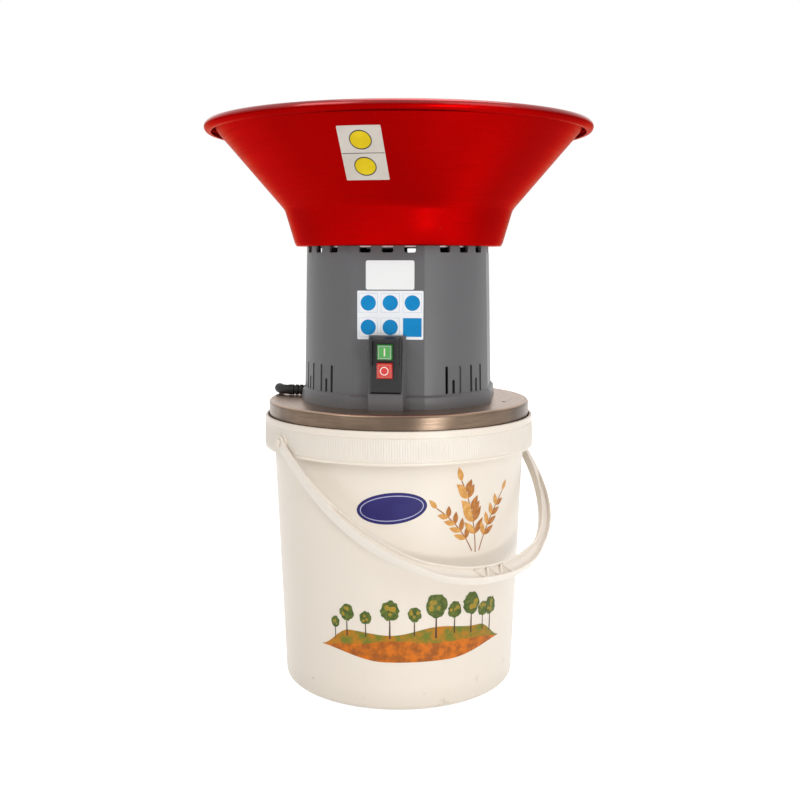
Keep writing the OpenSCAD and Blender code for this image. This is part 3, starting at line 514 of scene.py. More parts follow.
@dataclass(frozen=True)
class Winding(Finish):
    """Varnished copper wire, wound in close turns."""

    colour: Colour
    pitch: float = 0.0009

    def material(self) -> bpy.types.Material:
        """Writes the finish's material."""
        shader = Shader(self.name)
        _, _, z = shader.axes
        turns = (z * (2 * math.pi / self.pitch) + shader.turn * 3).sine() * 0.5 + 0.5
        cloud = shader.noise(120, 3)
        tone = shader.mix(turns, shaded(self.colour, 0.45), shaded(self.colour, 1.15))
        return shader.finish(
            Base_Color=shader.mix(cloud * 0.3, tone, (0.12, 0.05, 0.02)),
            Metallic=0.8,
            Roughness=0.3 + cloud * 0.15,
            Coat_Weight=0.4,
            Normal=shader.bump(turns, 0.6, 0.0003),
        )


@dataclass(frozen=True)
class Laminated(Finish):
    """A stack of thin varnished steel sheets."""

    colour: Colour
    sheet: float = 0.0007

    def material(self) -> bpy.types.Material:
        """Writes the finish's material."""
        shader = Shader(self.name)
        _, _, z = shader.axes
        edge = (z * (2 * math.pi / self.sheet)).sine() * 0.5 + 0.5
        cloud = shader.noise(60, 4)
        tone = shader.mix(edge, shaded(self.colour, 0.6), shaded(self.colour, 1.2))
        return shader.finish(
            Base_Color=shader.mix(cloud * 0.4, tone, (0.16, 0.08, 0.04)),
            Metallic=0.7,
            Roughness=0.42 + cloud * 0.2,
            Normal=shader.bump(edge, 0.4, 0.0002),
        )


@dataclass(frozen=True)
class DieCast(Finish):
    """Die-cast alloy: a dull skin with a fine sandy grain and a few flow marks."""

    colour: Colour

    def material(self) -> bpy.types.Material:
        """Writes the finish's material."""
        shader = Shader(self.name)
        sand = shader.noise(1500, 3)
        flow = shader.noise(30, 4)
        tone = shader.mix(flow, shaded(self.colour, 0.85), shaded(self.colour, 1.1))
        return shader.finish(
            Base_Color=tone,
            Metallic=0.9,
            Roughness=0.5 + (sand - 0.5) * 0.2,
            Normal=shader.bump(sand + flow * 0.5, 0.35, 0.0003),
        )


@functools.cache
def dressed(finish: Finish) -> bpy.types.Material:
    """Gives a finish's material, written once."""
    return finish.material()


PAIL_WHITE = PailWall("pail_white", srgb(234, 224, 211))
BAIL_WHITE = Moulded("bail_white", srgb(236, 228, 217), 0.32, 0.02, 0.1)
HOUSING_GREY = Moulded("housing_grey", srgb(88, 88, 90), 0.4, 0.05, 0.3, 1400, 0.5)
SWITCH_BLACK = Moulded("switch_black", srgb(12, 12, 13), 0.34, 0.1, 0.2)
CORD_BLACK = Moulded("cord_black", srgb(12, 12, 12), 0.55, 0.1, 0.15)
BOOT_BLACK = Moulded("boot_black", srgb(8, 8, 8), 0.6, 0.08, 0.1)
GASKET_BLACK = Moulded("gasket_black", srgb(26, 26, 27), 0.6, 0.12, 0.4)
PLUG_BLACK = Moulded("plug_black", srgb(24, 24, 25), 0.44, 0.1, 0.3)
CHUTE_BLACK = Moulded("chute_black", srgb(20, 20, 21), 0.45, 0.1, 0.25)
KNOB_BLACK = Moulded("knob_black", srgb(22, 22, 22), 0.35, 0.1, 0.2)
BRACKET_BLACK = Moulded("bracket_black", srgb(27, 27, 29), 0.48, 0.1, 0.35)
FAN_BLACK = Moulded("fan_black", srgb(30, 30, 31), 0.5, 0.1, 0.3)
CARBON = Moulded("carbon", srgb(38, 38, 40), 0.62, 0.2, 0.6, 2600)
SUPPRESSOR_YELLOW = Moulded("suppressor_yellow", srgb(214, 168, 40), 0.35, 0.06, 0.1)
START_GREEN = Moulded("start_green", srgb(74, 158, 74), 0.3, 0.05, 0.08, 1800, 0.5)
STOP_RED = Moulded("stop_red", srgb(205, 52, 52), 0.3, 0.05, 0.08, 1800, 0.5)
START_EDGE = Moulded("start_edge", srgb(150, 168, 152), 0.22, 0.1, 0.05, 1800, 0.6)
STOP_EDGE = Moulded("stop_edge", srgb(196, 92, 72), 0.22, 0.1, 0.05, 1800, 0.6)
LEGEND_WHITE = Ink("legend_white", srgb(236, 226, 214))
HOPPER_SHEET = CoatedSheet("hopper_sheet", srgb(162, 0, 1), srgb(196, 192, 186), 0.201)
# The lid's pale top and dark skirt colours are a lit and a shaded copy of one steel: painted light and shade.
LID_STEEL = LidSteel("lid_steel", srgb(188, 160, 138), srgb(108, 92, 78))
SHEET_STEEL = BareMetal("sheet_steel", srgb(196, 196, 198), Brushing.ROUND, 0.32, 0.2)
SCREEN_STEEL = BareMetal("screen_steel", srgb(190, 190, 192), Brushing.UP, 0.34, 0.2)
TURNED_STEEL = BareMetal("turned_steel", srgb(178, 178, 182), Brushing.ROUND, 0.22, 0.1)
PLATED_STEEL = BareMetal("plated_steel", srgb(205, 203, 198), Brushing.FINE, 0.2, 0.1)
BEARING_STEEL = BareMetal("bearing_steel", srgb(200, 200, 204), Brushing.ROUND, 0.15, 0.05)
BRASS = BareMetal("brass", srgb(205, 165, 88), Brushing.FINE, 0.28, 0.2)
COMMUTATOR_COPPER = BareMetal("commutator_copper", srgb(190, 116, 74), Brushing.ROUND, 0.3, 0.3)
RATING_FOIL = BareMetal("rating_foil", srgb(216, 216, 216), Brushing.FINE, 0.42, 0.08)
CAST_ALLOY = DieCast("cast_alloy", srgb(168, 168, 172))
LAMINATION = Laminated("lamination", srgb(110, 108, 106))
COPPER_WIRE = Winding("copper_wire", srgb(176, 92, 48))
LABEL_WHITE = Ink("label_white", srgb(232, 236, 240), srgb(240, 243, 246), 30, 0.3)
LABEL_CREAM = Ink("label_cream", srgb(206, 198, 188), srgb(214, 207, 198), 30, 0.3)
LABEL_BLUE = Ink("label_blue", srgb(0, 128, 190), srgb(10, 136, 198), 60)
LABEL_LINE = Ink("label_line", srgb(160, 180, 200))
STICKER_YELLOW = Ink("sticker_yellow", srgb(222, 192, 10), srgb(232, 204, 24), 60)
STICKER_LINE = Ink("sticker_line", srgb(60, 58, 52))
OVAL_BLUE = Ink("oval_blue", srgb(42, 38, 98), srgb(48, 44, 108), 40)
OVAL_RIM = Ink("oval_rim", srgb(176, 176, 206))
LEAF_GOLD = Ink("leaf_gold", srgb(206, 146, 74), srgb(228, 176, 104), 220)
LEAF_BROWN = Ink("leaf_brown", srgb(168, 104, 48), srgb(194, 132, 70), 220)
STEM_BROWN = Ink("stem_brown", srgb(150, 96, 50))
FIELD_BACK = Ink("field_back", srgb(108, 120, 40), srgb(196, 122, 30), 75)
FIELD_FRONT = Ink("field_front", srgb(214, 116, 28), srgb(150, 84, 34), 110)
TREE_GREEN = Ink("tree_green", srgb(66, 86, 36), srgb(104, 116, 50), 240)
TREE_GOLD = Ink("tree_gold", srgb(176, 140, 48), srgb(136, 132, 52), 240)
TREE_TRUNK = Ink("tree_trunk", srgb(78, 58, 44))


# ---------------------------------------------------------------- mesh making


def as_object(name: str, form: bmesh.types.BMesh, crease: float = 32.0) -> bpy.types.Object:
    """Turns a form into an object with smooth faces.

    Args:
        name: The piece's name.
        form: The form, which is used up.
        crease: The angle in degrees past which an edge stays sharp.

    Returns:
        The object, at the origin.
    """
    bmesh.ops.recalc_face_normals(form, faces=form.faces)
    mesh = bpy.data.meshes.new(name)
    form.to_mesh(mesh)
    form.free()
    mesh.shade_smooth()
    mesh.set_sharp_from_angle(angle=math.radians(crease))
    made = bpy.data.objects.new(name, mesh)
    bpy.context.collection.objects.link(made)
    return made


def fit_piece(
    piece: bpy.types.Object, finish: Finish, body: str
) -> bpy.types.Object:
    """Dresses a piece and rides it on a body.

    Args:
        piece: The piece, in its place.
        finish: Its finish.
        body: The body that carries it.

    Returns:
        The piece.
    """
    piece.data.materials.clear()
    piece.data.materials.append(dressed(finish))
    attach(piece, body)
    log.info("%s rides on %s", piece.name, body)
    return piece


def dress_node(node: str, finish: Finish) -> None:
    """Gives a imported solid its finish."""
    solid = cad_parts[node]
    solid.data.materials.clear()
    solid.data.materials.append(dressed(finish))
    log.info("%s dressed in %s", node, finish.name)


def metres(points: Iterable[Pair]) -> list[Pair]:
    """Turns pairs of millimetres into metres."""
    return [(a * MM, b * MM) for a, b in points]


def ease(value: float, start: float, end: float) -> float:
    """Rises smoothly from 0 at the start to 1 at the end."""
    share = min(1.0, max(0.0, (value - start) / (end - start)))
    return share * share * (3 - 2 * share)


def arc(centre: Pair, radius: float, start: float, end: float, steps: int) -> list[Pair]:
    """Gives points along an arc.

    Args:
        centre: Its centre.
        radius: Its radius.
        start: Its first angle, in degrees.
        end: Its last angle, in degrees.
        steps: How many chords it is cut into.

    Returns:
        The points, both ends included.
    """
    angles = (math.radians(start + (end - start) * i / steps) for i in range(steps + 1))
    return [(centre[0] + radius * math.cos(a), centre[1] + radius * math.sin(a)) for a in angles]


def revolve(
    form: bmesh.types.BMesh,
    profile: Sequence[Pair],
    segments: int = 192,
    closed: bool = True,
    ripple: Callable[[float, float], float] | None = None,
) -> None:
    """Turns a profile about the mill's axis into a form.

    Args:
        form: The form that it is added to.
        profile: Pairs of radius and height.
        segments: Its divisions round the axis.
        closed: Whether the last point joins the first.
        ripple: What an angle and a height add to the radius.
    """
    rings = []
    for radius, height in profile:
        if radius < 1e-6:
            rings.append([form.verts.new((0, 0, height))] * segments)
            continue
        ring = []
        for j in range(segments):
            angle = 2 * math.pi * j / segments
            reach = radius + (ripple(angle, height) if ripple else 0)
            ring.append(form.verts.new((reach * math.cos(angle), reach * math.sin(angle), height)))
        rings.append(ring)
    pairs = list(zip(rings, rings[1:]))
    if closed:
        pairs.append((rings[-1], rings[0]))
    for lower, upper in pairs:
        for j in range(segments):
            k = (j + 1) % segments
            corners = list(dict.fromkeys([lower[j], lower[k], upper[k], upper[j]]))
            if len(corners) > 2:
                form.faces.new(corners)


def add_turned(
    form: bmesh.types.BMesh, profile: Sequence[Pair], segments: int, place: Matrix, closed: bool = True
) -> None:
    """Adds a turned shape that a matrix moves into its place.

    Args:
        form: The form that it is added to.
        profile: Pairs of radius and height, in millimetres.
        segments: Its divisions round its axis.
        place: The matrix that moves it.
        closed: Whether the last point joins the first.
    """
    turned = bmesh.new()
    revolve(turned, metres(profile), segments, closed)
    bmesh.ops.transform(turned, matrix=place, verts=turned.verts)
    part = bpy.data.meshes.new("part")
    turned.to_mesh(part)
    turned.free()
    form.from_mesh(part)
    bpy.data.meshes.remove(part)


def loft(form: bmesh.types.BMesh, rings: Sequence[Sequence[Vector]], ends: bool = True) -> None:
    """Joins rings of points into a skin.

    Args:
        form: The form that it is added to.
        rings: Rings of as many points each, in order.
        ends: Whether the first and last ring are filled.
    """
    made = [[form.verts.new(point) for point in ring] for ring in rings]
    count = len(made[0])
    for lower, upper in zip(made, made[1:]):
        for j in range(count):
            k = (j + 1) % count
            form.faces.new((lower[j], lower[k], upper[k], upper[j]))
    if ends:
        form.faces.new(list(reversed(made[0])))
        form.faces.new(made[-1])


def block(
    form: bmesh.types.BMesh, low: Sequence[float], high: Sequence[float], turn: Matrix | None = None
) -> None:
    """Adds a box between two corners, turned by a matrix if one is given."""
    size = Vector(high) - Vector(low)
    middle = (Vector(high) + Vector(low)) / 2
    made = bmesh.ops.create_cube(form, size=1.0)["verts"]
    bmesh.ops.scale(form, vec=size, verts=made)
    bmesh.ops.translate(form, vec=middle, verts=made)
    if turn:
        bmesh.ops.transform(form, matrix=turn, verts=made)


def lay_flat(
    form: bmesh.types.BMesh,
    outline: Sequence[Pair],
    place: Placement,
    lift: float,
    thickness: float = 0.00012,
    step: float = 0.006,
) -> None:
    """Lays a thin shape on a surface, bent to it.

    Args:
        form: The form that it is added to.
        outline: The shape's corners, across and up the surface.
        place: Gives the point of the surface across, up and off it.
        lift: How far its underside lies off the surface.
        thickness: Its thickness.
        step: The width of the strips that it is bent in.
    """
    sheet = bmesh.new()
    sheet.faces.new([sheet.verts.new((u, v, 0)) for u, v in outline])
    left = min(u for u, _ in outline)
    right = max(u for u, _ in outline)
    for i in range(math.floor(left / step) + 1, math.ceil(right / step)):
        geometry = sheet.verts[:] + sheet.edges[:] + sheet.faces[:]
        bmesh.ops.bisect_plane(sheet, geom=geometry, plane_co=(i * step, 0, 0), plane_no=(1, 0, 0))
    bmesh.ops.triangulate(sheet, faces=sheet.faces[:])
    top = bmesh.ops.extrude_face_region(sheet, geom=sheet.faces[:])["geom"]
    for vert in (v for v in top if isinstance(v, bmesh.types.BMVert)):
        vert.co.z = thickness
    moved = {v: form.verts.new(place(v.co.x, v.co.y, lift + v.co.z)) for v in sheet.verts}
    for face in sheet.faces:
        form.faces.new([moved[v] for v in face.verts])
    sheet.free()


def oval(centre: Pair, across: float, up: float, points: int = 48) -> list[Pair]:
    """Gives an ellipse's outline from its centre and half axes."""
    steps = (2 * math.pi * i / points for i in range(points))
    return [(centre[0] + across * math.cos(a), centre[1] + up * math.sin(a)) for a in steps]


def rounded(low: Pair, high: Pair, radius: float, steps: int = 5) -> list[Pair]:
    """Gives the outline of a rectangle with round corners.

    Args:
        low: Its lowest corner.
        high: Its highest corner.
        radius: The corners' radius.
        steps: The chords in each corner.

    Returns:
        The outline, anticlockwise.
    """
    (x0, y0), (x1, y1) = low, high
    left, right, low_y, high_y = x0 + radius, x1 - radius, y0 + radius, y1 - radius
    outline = []
    corners = [(right, low_y), (right, high_y), (left, high_y), (left, low_y)]
    for corner, start in zip(corners, (-90, 0, 90, 180)):
        outline += arc(corner, radius, start, start + 90, steps)
    return outline


def annulus(outline: Sequence[Pair], width: float) -> list[list[Pair]]:
    """Cuts a border of some width inside an outline into quads."""
    cx = sum(u for u, _ in outline) / len(outline)
    cy = sum(v for _, v in outline) / len(outline)
    half_u = max(u for u, _ in outline) - cx
    half_v = max(v for _, v in outline) - cy
    keep_u, keep_v = 1 - width / half_u, 1 - width / half_v
    inner = [(cx + (u - cx) * keep_u, cy + (v - cy) * keep_v) for u, v in outline]
    count = len(outline)
    return [
        [outline[i], outline[(i + 1) % count], inner[(i + 1) % count], inner[i]]
        for i in range(count)
    ]


def film(
    name: str,
    shapes: Iterable[Sequence[Pair]],
    place: Placement,
    finish: Finish,
    lift: float,
    depth: float,
    body: str = "mill",
    step: float = 0.006,
) -> None:
    """Lays some shapes on a surface as one thin piece.

    Args:
        name: The piece's name.
        shapes: Outlines in millimetres.
        place: Gives the point of the surface across, up and off it.
        finish: Its finish.
        lift: How far its underside lies off the surface, in millimetres.
        depth: Its thickness, in millimetres.
        body: The body that carries it.
        step: The width of the strips that it is bent in, in metres.
    """
    form = bmesh.new()
    for shape in shapes:
        lay_flat(form, metres(shape), place, lift * MM, depth * MM, step)
    fit_piece(as_object(name, form, FILM_CREASE), finish, body)


# ---------------------------------------------------------------- studio


@dataclass
class Studio:
    """The camera, the lamps, the white surroundings and the floor."""

    distance: float = 1.2185
    eye_height: float = 0.4755
    azimuth: float = 7.0
    tilt: float = 7.526
    side_step: float = 0.00135
    lens: float = 48.735
    sensor: float = 36.0
    floor_side: float = 14.0
    floor_drop: float = 0.0004

    def camera(self) -> None:
        """Sets the camera up in front of the mill, a little to its right."""
        turn = math.radians(self.azimuth)
        dip = math.radians(self.tilt)
        data = bpy.data.cameras.new("camera")
        data.lens = self.lens
        data.sensor_width = self.sensor
        made = bpy.data.objects.new("camera", data)
        bpy.context.collection.objects.link(made)
        made.location = (
            self.distance * math.sin(turn) + self.side_step * math.cos(turn),
            -self.distance * math.cos(turn) + self.side_step * math.sin(turn),
            self.eye_height,
        )
        ahead = Vector((-math.sin(turn) * math.cos(dip), math.cos(turn) * math.cos(dip), -math.sin(dip)))
        made.rotation_euler = ahead.to_track_quat("-Z", "Y").to_euler()
        bpy.context.scene.camera = made
        bpy.context.scene.view_settings.view_transform = "Standard"

    @staticmethod
    def lamp(name: str, place: Sequence[float], aim: Sequence[float], size: float, power: float) -> None:
        """Hangs one soft square lamp.

        Args:
            name: Its name.
            place: Where it hangs.
            aim: The point that it is turned to.
            size: Its side.
            power: Its power in watts.
        """
        data = bpy.data.lights.new(name, "AREA")
        data.size = size
        data.energy = power
        made = bpy.data.objects.new(name, data)
        bpy.context.collection.objects.link(made)
        made.location = place
        made.rotation_euler = (Vector(aim) - Vector(place)).to_track_quat("-Z", "Y").to_euler()

    @staticmethod
    def seen(shader: Shader) -> Signal:
        """Gives 1 for rays that come from the camera, a reflection or through glass."""
        path = shader.node("ShaderNodeLightPath")
        camera, glossy, through = (
            shader.signal(path, kind) for kind in ("Is Camera Ray", "Is Glossy Ray", "Is Transmission Ray")
        )
        return camera.larger(glossy).larger(through)

    def surroundings(self) -> None:
        """Lights the room evenly and shows it white."""
        shader = Shader("room", world=True)
        bpy.context.scene.world = shader.owner
        dim = shader.node("ShaderNodeBackground", sockets={"Color": (1.0, 0.985, 0.965), "Strength": 0.5})
        white = shader.node("ShaderNodeBackground", sockets={"Color": (1.0, 1.0, 1.0), "Strength": 1.0})
        seen = self.seen(shader)
        blend = shader.node("ShaderNodeMixShader", sockets={0: seen, 1: dim.outputs[0], 2: white.outputs[0]})
        shader.node("ShaderNodeOutputWorld", sockets={"Surface": blend.outputs[0]})

    def floor(self) -> None:
        """Lays a white floor that keeps a soft shadow."""
        form = bmesh.new()
        half = self.floor_side / 2
        corners = ((-half, -half), (half, -half), (half, half), (-half, half))
        form.faces.new([form.verts.new((x, y, 0)) for x, y in corners])
        piece = as_object("studio_floor", form)
        piece.location.z = -self.floor_drop
        shader = Shader("studio_floor")
        grain = shader.noise(3, 3)
        tone = shader.mix(grain, (0.86, 0.86, 0.86), (0.9, 0.9, 0.9))
        paint = shader.node("ShaderNodeBsdfPrincipled", sockets={"Base Color": tone, "Roughness": 0.7})
        glow = shader.node("ShaderNodeEmission", sockets={"Color": (1.0, 1.0, 1.0), "Strength": 0.72})
        both = shader.node("ShaderNodeAddShader", sockets={0: paint.outputs[0], 1: glow.outputs[0]})
        seen = self.seen(shader)
        blend = shader.node("ShaderNodeMixShader", sockets={0: seen, 1: paint.outputs[0], 2: both.outputs[0]})
        shader.node("ShaderNodeOutputMaterial", sockets={"Surface": blend.outputs[0]})
        piece.data.materials.append(shader.owner)

    def build(self) -> None:
        """Sets up the whole studio."""
        self.camera()
        self.surroundings()
        self.lamp("key", (-1.5, -1.9, 2.3), (0, 0, 0.35), 1.6, 25)
        self.lamp("fill", (2.0, -1.5, 1.5), (0, 0, 0.35), 1.8, 15)
        self.lamp("top", (0.2, 0.5, 2.8), (0, 0, 0.4), 1.6, 20)
        self.lamp("strip", (0.85, -1.25, 0.05), (0.05, 0, 0.55), 0.35, 7.5)
        self.floor()
        log.info("studio ready")


# ---------------------------------------------------------------- cord


@dataclass
class PowerCord:
    """The rubber cord: over the lid's edge, down the pail, into a coil, to its plug."""

    diameter: float = 7.4 * MM
    exit: tuple[float, float, float] = (-0.142727, 0.019874, 0.324200)
    coil_centre: Pair = (-0.023, 0.186)
    coil_outer: float = 44.7 * MM
    coil_inner: float = 37.2 * MM
    low: float = 3.8 * MM
    high: float = 11.3 * MM
    down: tuple[tuple[float, float, float], ...] = (
        (-144.6, 29, 324.2), (-145.9, 38, 323.8), (-147.2, 47, 322), (-148.4, 55, 318), (-149.6, 62, 311.5),
        (-150.6, 68, 302.5), (-151.4, 73, 291), (-151.8, 77, 276), (-151.8, 79.4, 258), (-151.4, 80.4, 238),
        (-150.8, 80.4, 218), (-150, 80, 198), (-149, 80, 175), (-148, 82, 150),
        (-147, 84, 125), (-146, 86, 100), (-144, 89, 76), (-141, 94, 53), (-136, 101, 33), (-128, 111, 17),
        (-118, 122, 7), (-106, 133, 4), (-94, 144, 4), (-83, 157, 4), (-75, 171, 4),
    )
    lead: tuple[tuple[float, float, float], ...] = (
        (-12, 231, 12), (0, 229, 14), (11, 226, 17), (21, 223, 19), (30, 222, 19),
    )

    def coil(self) -> list[Vector]:
        """Winds the coil: outside and inside below, then inside and outside above."""
        gap = self.coil_outer - self.coil_inner
        points = []
        for turned in range(0, 1171, 5):
            reach = self.coil_outer + 2.3 * MM * (1 - ease(turned, 0, 35))
            reach += gap * (ease(turned, 830, 880) - ease(turned, 305, 352))
            height = self.low + (self.high - self.low) * ease(turned, 600, 665)
            angle = math.radians(180 - turned)
            x, y = self.coil_centre
            points.append(Vector((x + reach * math.cos(angle), y + reach * math.sin(angle), height)))
        return points

    def route(self) -> list[Vector]:
        """Gives the cord's line from its boot to its plug."""
        down = [Vector(self.exit)] + [Vector(p) * MM for p in self.down]
        corners = down + self.coil() + [Vector(p) * MM for p in self.lead]
        line = []
        for i in range(len(corners) - 1):
            before, after = corners[max(i - 1, 0)], corners[min(i + 2, len(corners) - 1)]
            here, there = corners[i], corners[i + 1]
            for k in range(4):
                t = k / 4
                line.append(
                    0.5
                    * (
                        2 * here
                        + (there - before) * t
                        + (2 * before - 5 * here + 4 * there - after) * t * t
                        + (3 * here - before - 3 * there + after) * t * t * t
                    )
                )
        return line + [corners[-1]]

    def build(self) -> None:
        """Makes the cord and dresses its plug, pins and boot."""
        line = self.route()
        length = sum((b - a).length for a, b in zip(line, line[1:]))
        curve = bpy.data.curves.new("power_cord_line", "CURVE")
        curve.dimensions = "3D"
        curve.bevel_depth = self.diameter / 2
        curve.bevel_resolution = 5
        curve.use_fill_caps = True
        spline = curve.splines.new("POLY")
        spline.points.add(len(line) - 1)
        for point, place in zip(spline.points, line):
            point.co = (*place, 1.0)
        spline.use_smooth = True
        piece = bpy.data.objects.new("power_cord_line", curve)
        bpy.context.collection.objects.link(piece)
        fit_piece(piece, CORD_BLACK, "mill")
        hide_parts("power_cord", "cord_coil", "plug_lead")
        dress_node("power_plug", PLUG_BLACK)
        dress_node("plug_pins", PLATED_STEEL)
        dress_node("cord_boot", BOOT_BLACK)
        log.info("cord is %.3f m long", length)


# ---------------------------------------------------------------- pail


@dataclass
class Pail:
    """The white pail: a tapered wall, a ribbed collar on webs, and two ears."""

    height: float = 302.0
    seat: float = 286.0
    neck_r: float = 147.0
    collar_r: float = 150.0
    collar_h: float = 35.0
    foot_round: float = 8.0
    wall: float = 2.0
    webs: int = 24
    ribs: int = 350
    rib_low: float = 271.0
    rib_high: float = 294.0

    def wall_r(self, z: float) -> float:
        """Gives the wall's outer radius at a height, in millimetres."""
        return WALL_FOOT_R + WALL_SLOPE * z

    def skirt_r(self, z: float) -> float:
        """Gives the collar's outer radius at a height, in millimetres."""
        return self.collar_r + (self.height - 1 - z) / (self.collar_h - 1)

    def shell(self) -> bpy.types.Object:
        """Turns the wall, the floor, the seat and the collar."""
        low = self.height - self.collar_h
        web = self.seat - 5
        ball = self.foot_round
        knee = self.wall_r(ball) - ball
        profile = [(self.wall_r(0) - 13, 0.4), (self.wall_r(0) - 12.6, 0)]
        profile += arc((knee, ball), ball, -90, -3, 10)
        profile += [(self.wall_r(z), z) for z in (30, 80, 130, 180, 230, web - 1.2)]
        profile += [(self.wall_r(web) + 0.3, web - 0.3), (self.wall_r(web) + 1.2, web)]
        profile += [(148.2, web), (148.6, web - 0.6), (149.0, low + 0.8), (149.4, low)]
        profile += arc((150.2, low + 0.8), 0.8, -90, 0, 4)
        foot, head = self.rib_low, self.rib_high
        profile += [(self.skirt_r(foot - 1.2), foot - 1.2), (self.skirt_r(foot) - 0.5, foot - 0.6)]
        profile += [(self.skirt_r(head) - 0.5, head + 0.6), (self.skirt_r(head + 1.2), head + 1.2)]
        profile += arc((self.collar_r - 1.2, self.height - 1.2), 1.2, 0, 90, 5)
        profile += [(self.neck_r + 0.6, self.height), (self.neck_r, self.height - 0.6)]
        profile += [(self.neck_r, self.seat + 0.5), (self.neck_r - 0.5, self.seat)]
        inner = self.wall_r(self.seat)
        profile += [(inner - 1.4, self.seat), (inner - 1.9, self.seat - 0.5)]
        profile += [(self.wall_r(z) - self.wall, z) for z in (230, 150, 70)]
        profile += arc((knee, ball + 3), ball - self.wall, -3, -90, 8)
        profile += [(0, 5), (0, 3), (self.wall_r(0) - 15, 3)]
        form = bmesh.new()
        revolve(form, metres(profile), 288)
        return as_object("pail_shell", form)

    def rib_band(self) -> bpy.types.Object:
        """Turns the band of fine upright ribs that runs round the collar."""

        def ripple(angle: float, height: float) -> float:
            """Gives the ribs' wave, faded out at both ends of the band."""
            middle = (self.rib_low + self.rib_high) / 2 * MM
            reach = (self.rib_high - self.rib_low) / 2 * MM
            fade = max(0.0, 1 - (abs(height - middle) / reach) ** 8)
            return fade * 0.28 * MM * (math.cos(angle * self.ribs) - 0.2)

        outer = [(self.skirt_r(z) - 0.05, z) for z in (271.0, 271.8, 273, 278, 284, 290, 292.2, 293.3, 294.0)]
        profile = [(r - 0.8, z) for r, z in (outer[0], outer[-1])]
        profile = [profile[0]] + outer + [profile[1]]
        form = bmesh.new()
        revolve(form, metres(profile), self.ribs * 4, ripple=ripple)
        return as_object("collar_ribs", form, 60)

    def under_webs(self) -> bpy.types.Object:
        """Builds the radial webs between the wall and the collar."""
        form = bmesh.new()
        foot = self.height - self.collar_h + 4
        for i in range(self.webs):
            turn = Matrix.Rotation(math.radians(360 / self.webs * (i + 0.5) + EAR_TURN), 4, "Z")
            low = Vector((self.wall_r(foot) - 1, -0.8, foot)) * MM
            high = Vector((148.9, 0.8, self.seat - 4.8)) * MM
            block(form, low, high, turn)
        return as_object("collar_webs", form)

    def ears(self) -> bpy.types.Object:
        """Builds both ears: a dished boss and a headed pin that the bail turns on."""
        form = bmesh.new()
        profile = [
            (0, -1.2), (9, -1.2), (9, 1.4), (8.6, 1.85), (8, 1.9), (5.2, 1.9), (4.6, 1.5), (3.5, 1.5),
            (3.5, 6.5), (4.7, 6.5), (4.8, 6.9), (3.6, 7.8), (2.4, 7.9), (2.0, 7.5), (0, 7.5),
        ]
        for side in (0, 180):
            turn = (
                Matrix.Rotation(math.radians(EAR_TURN + side), 4, "Z")
                @ Matrix.Translation((self.collar_r * MM, 0, EAR_Z * MM))
                @ Matrix.Rotation(math.radians(90), 4, "Y")
            )
            add_turned(form, profile, 48, turn, closed=False)
        return as_object("pail_ears", form)

    def build(self) -> None:
        """Makes the pail's pieces."""
        shell = fit_piece(self.shell(), PAIL_WHITE, "pail")
        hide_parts("pail")
        for piece in (self.rib_band(), self.under_webs(), self.ears()):
            fit_piece(piece, PAIL_WHITE, "pail")


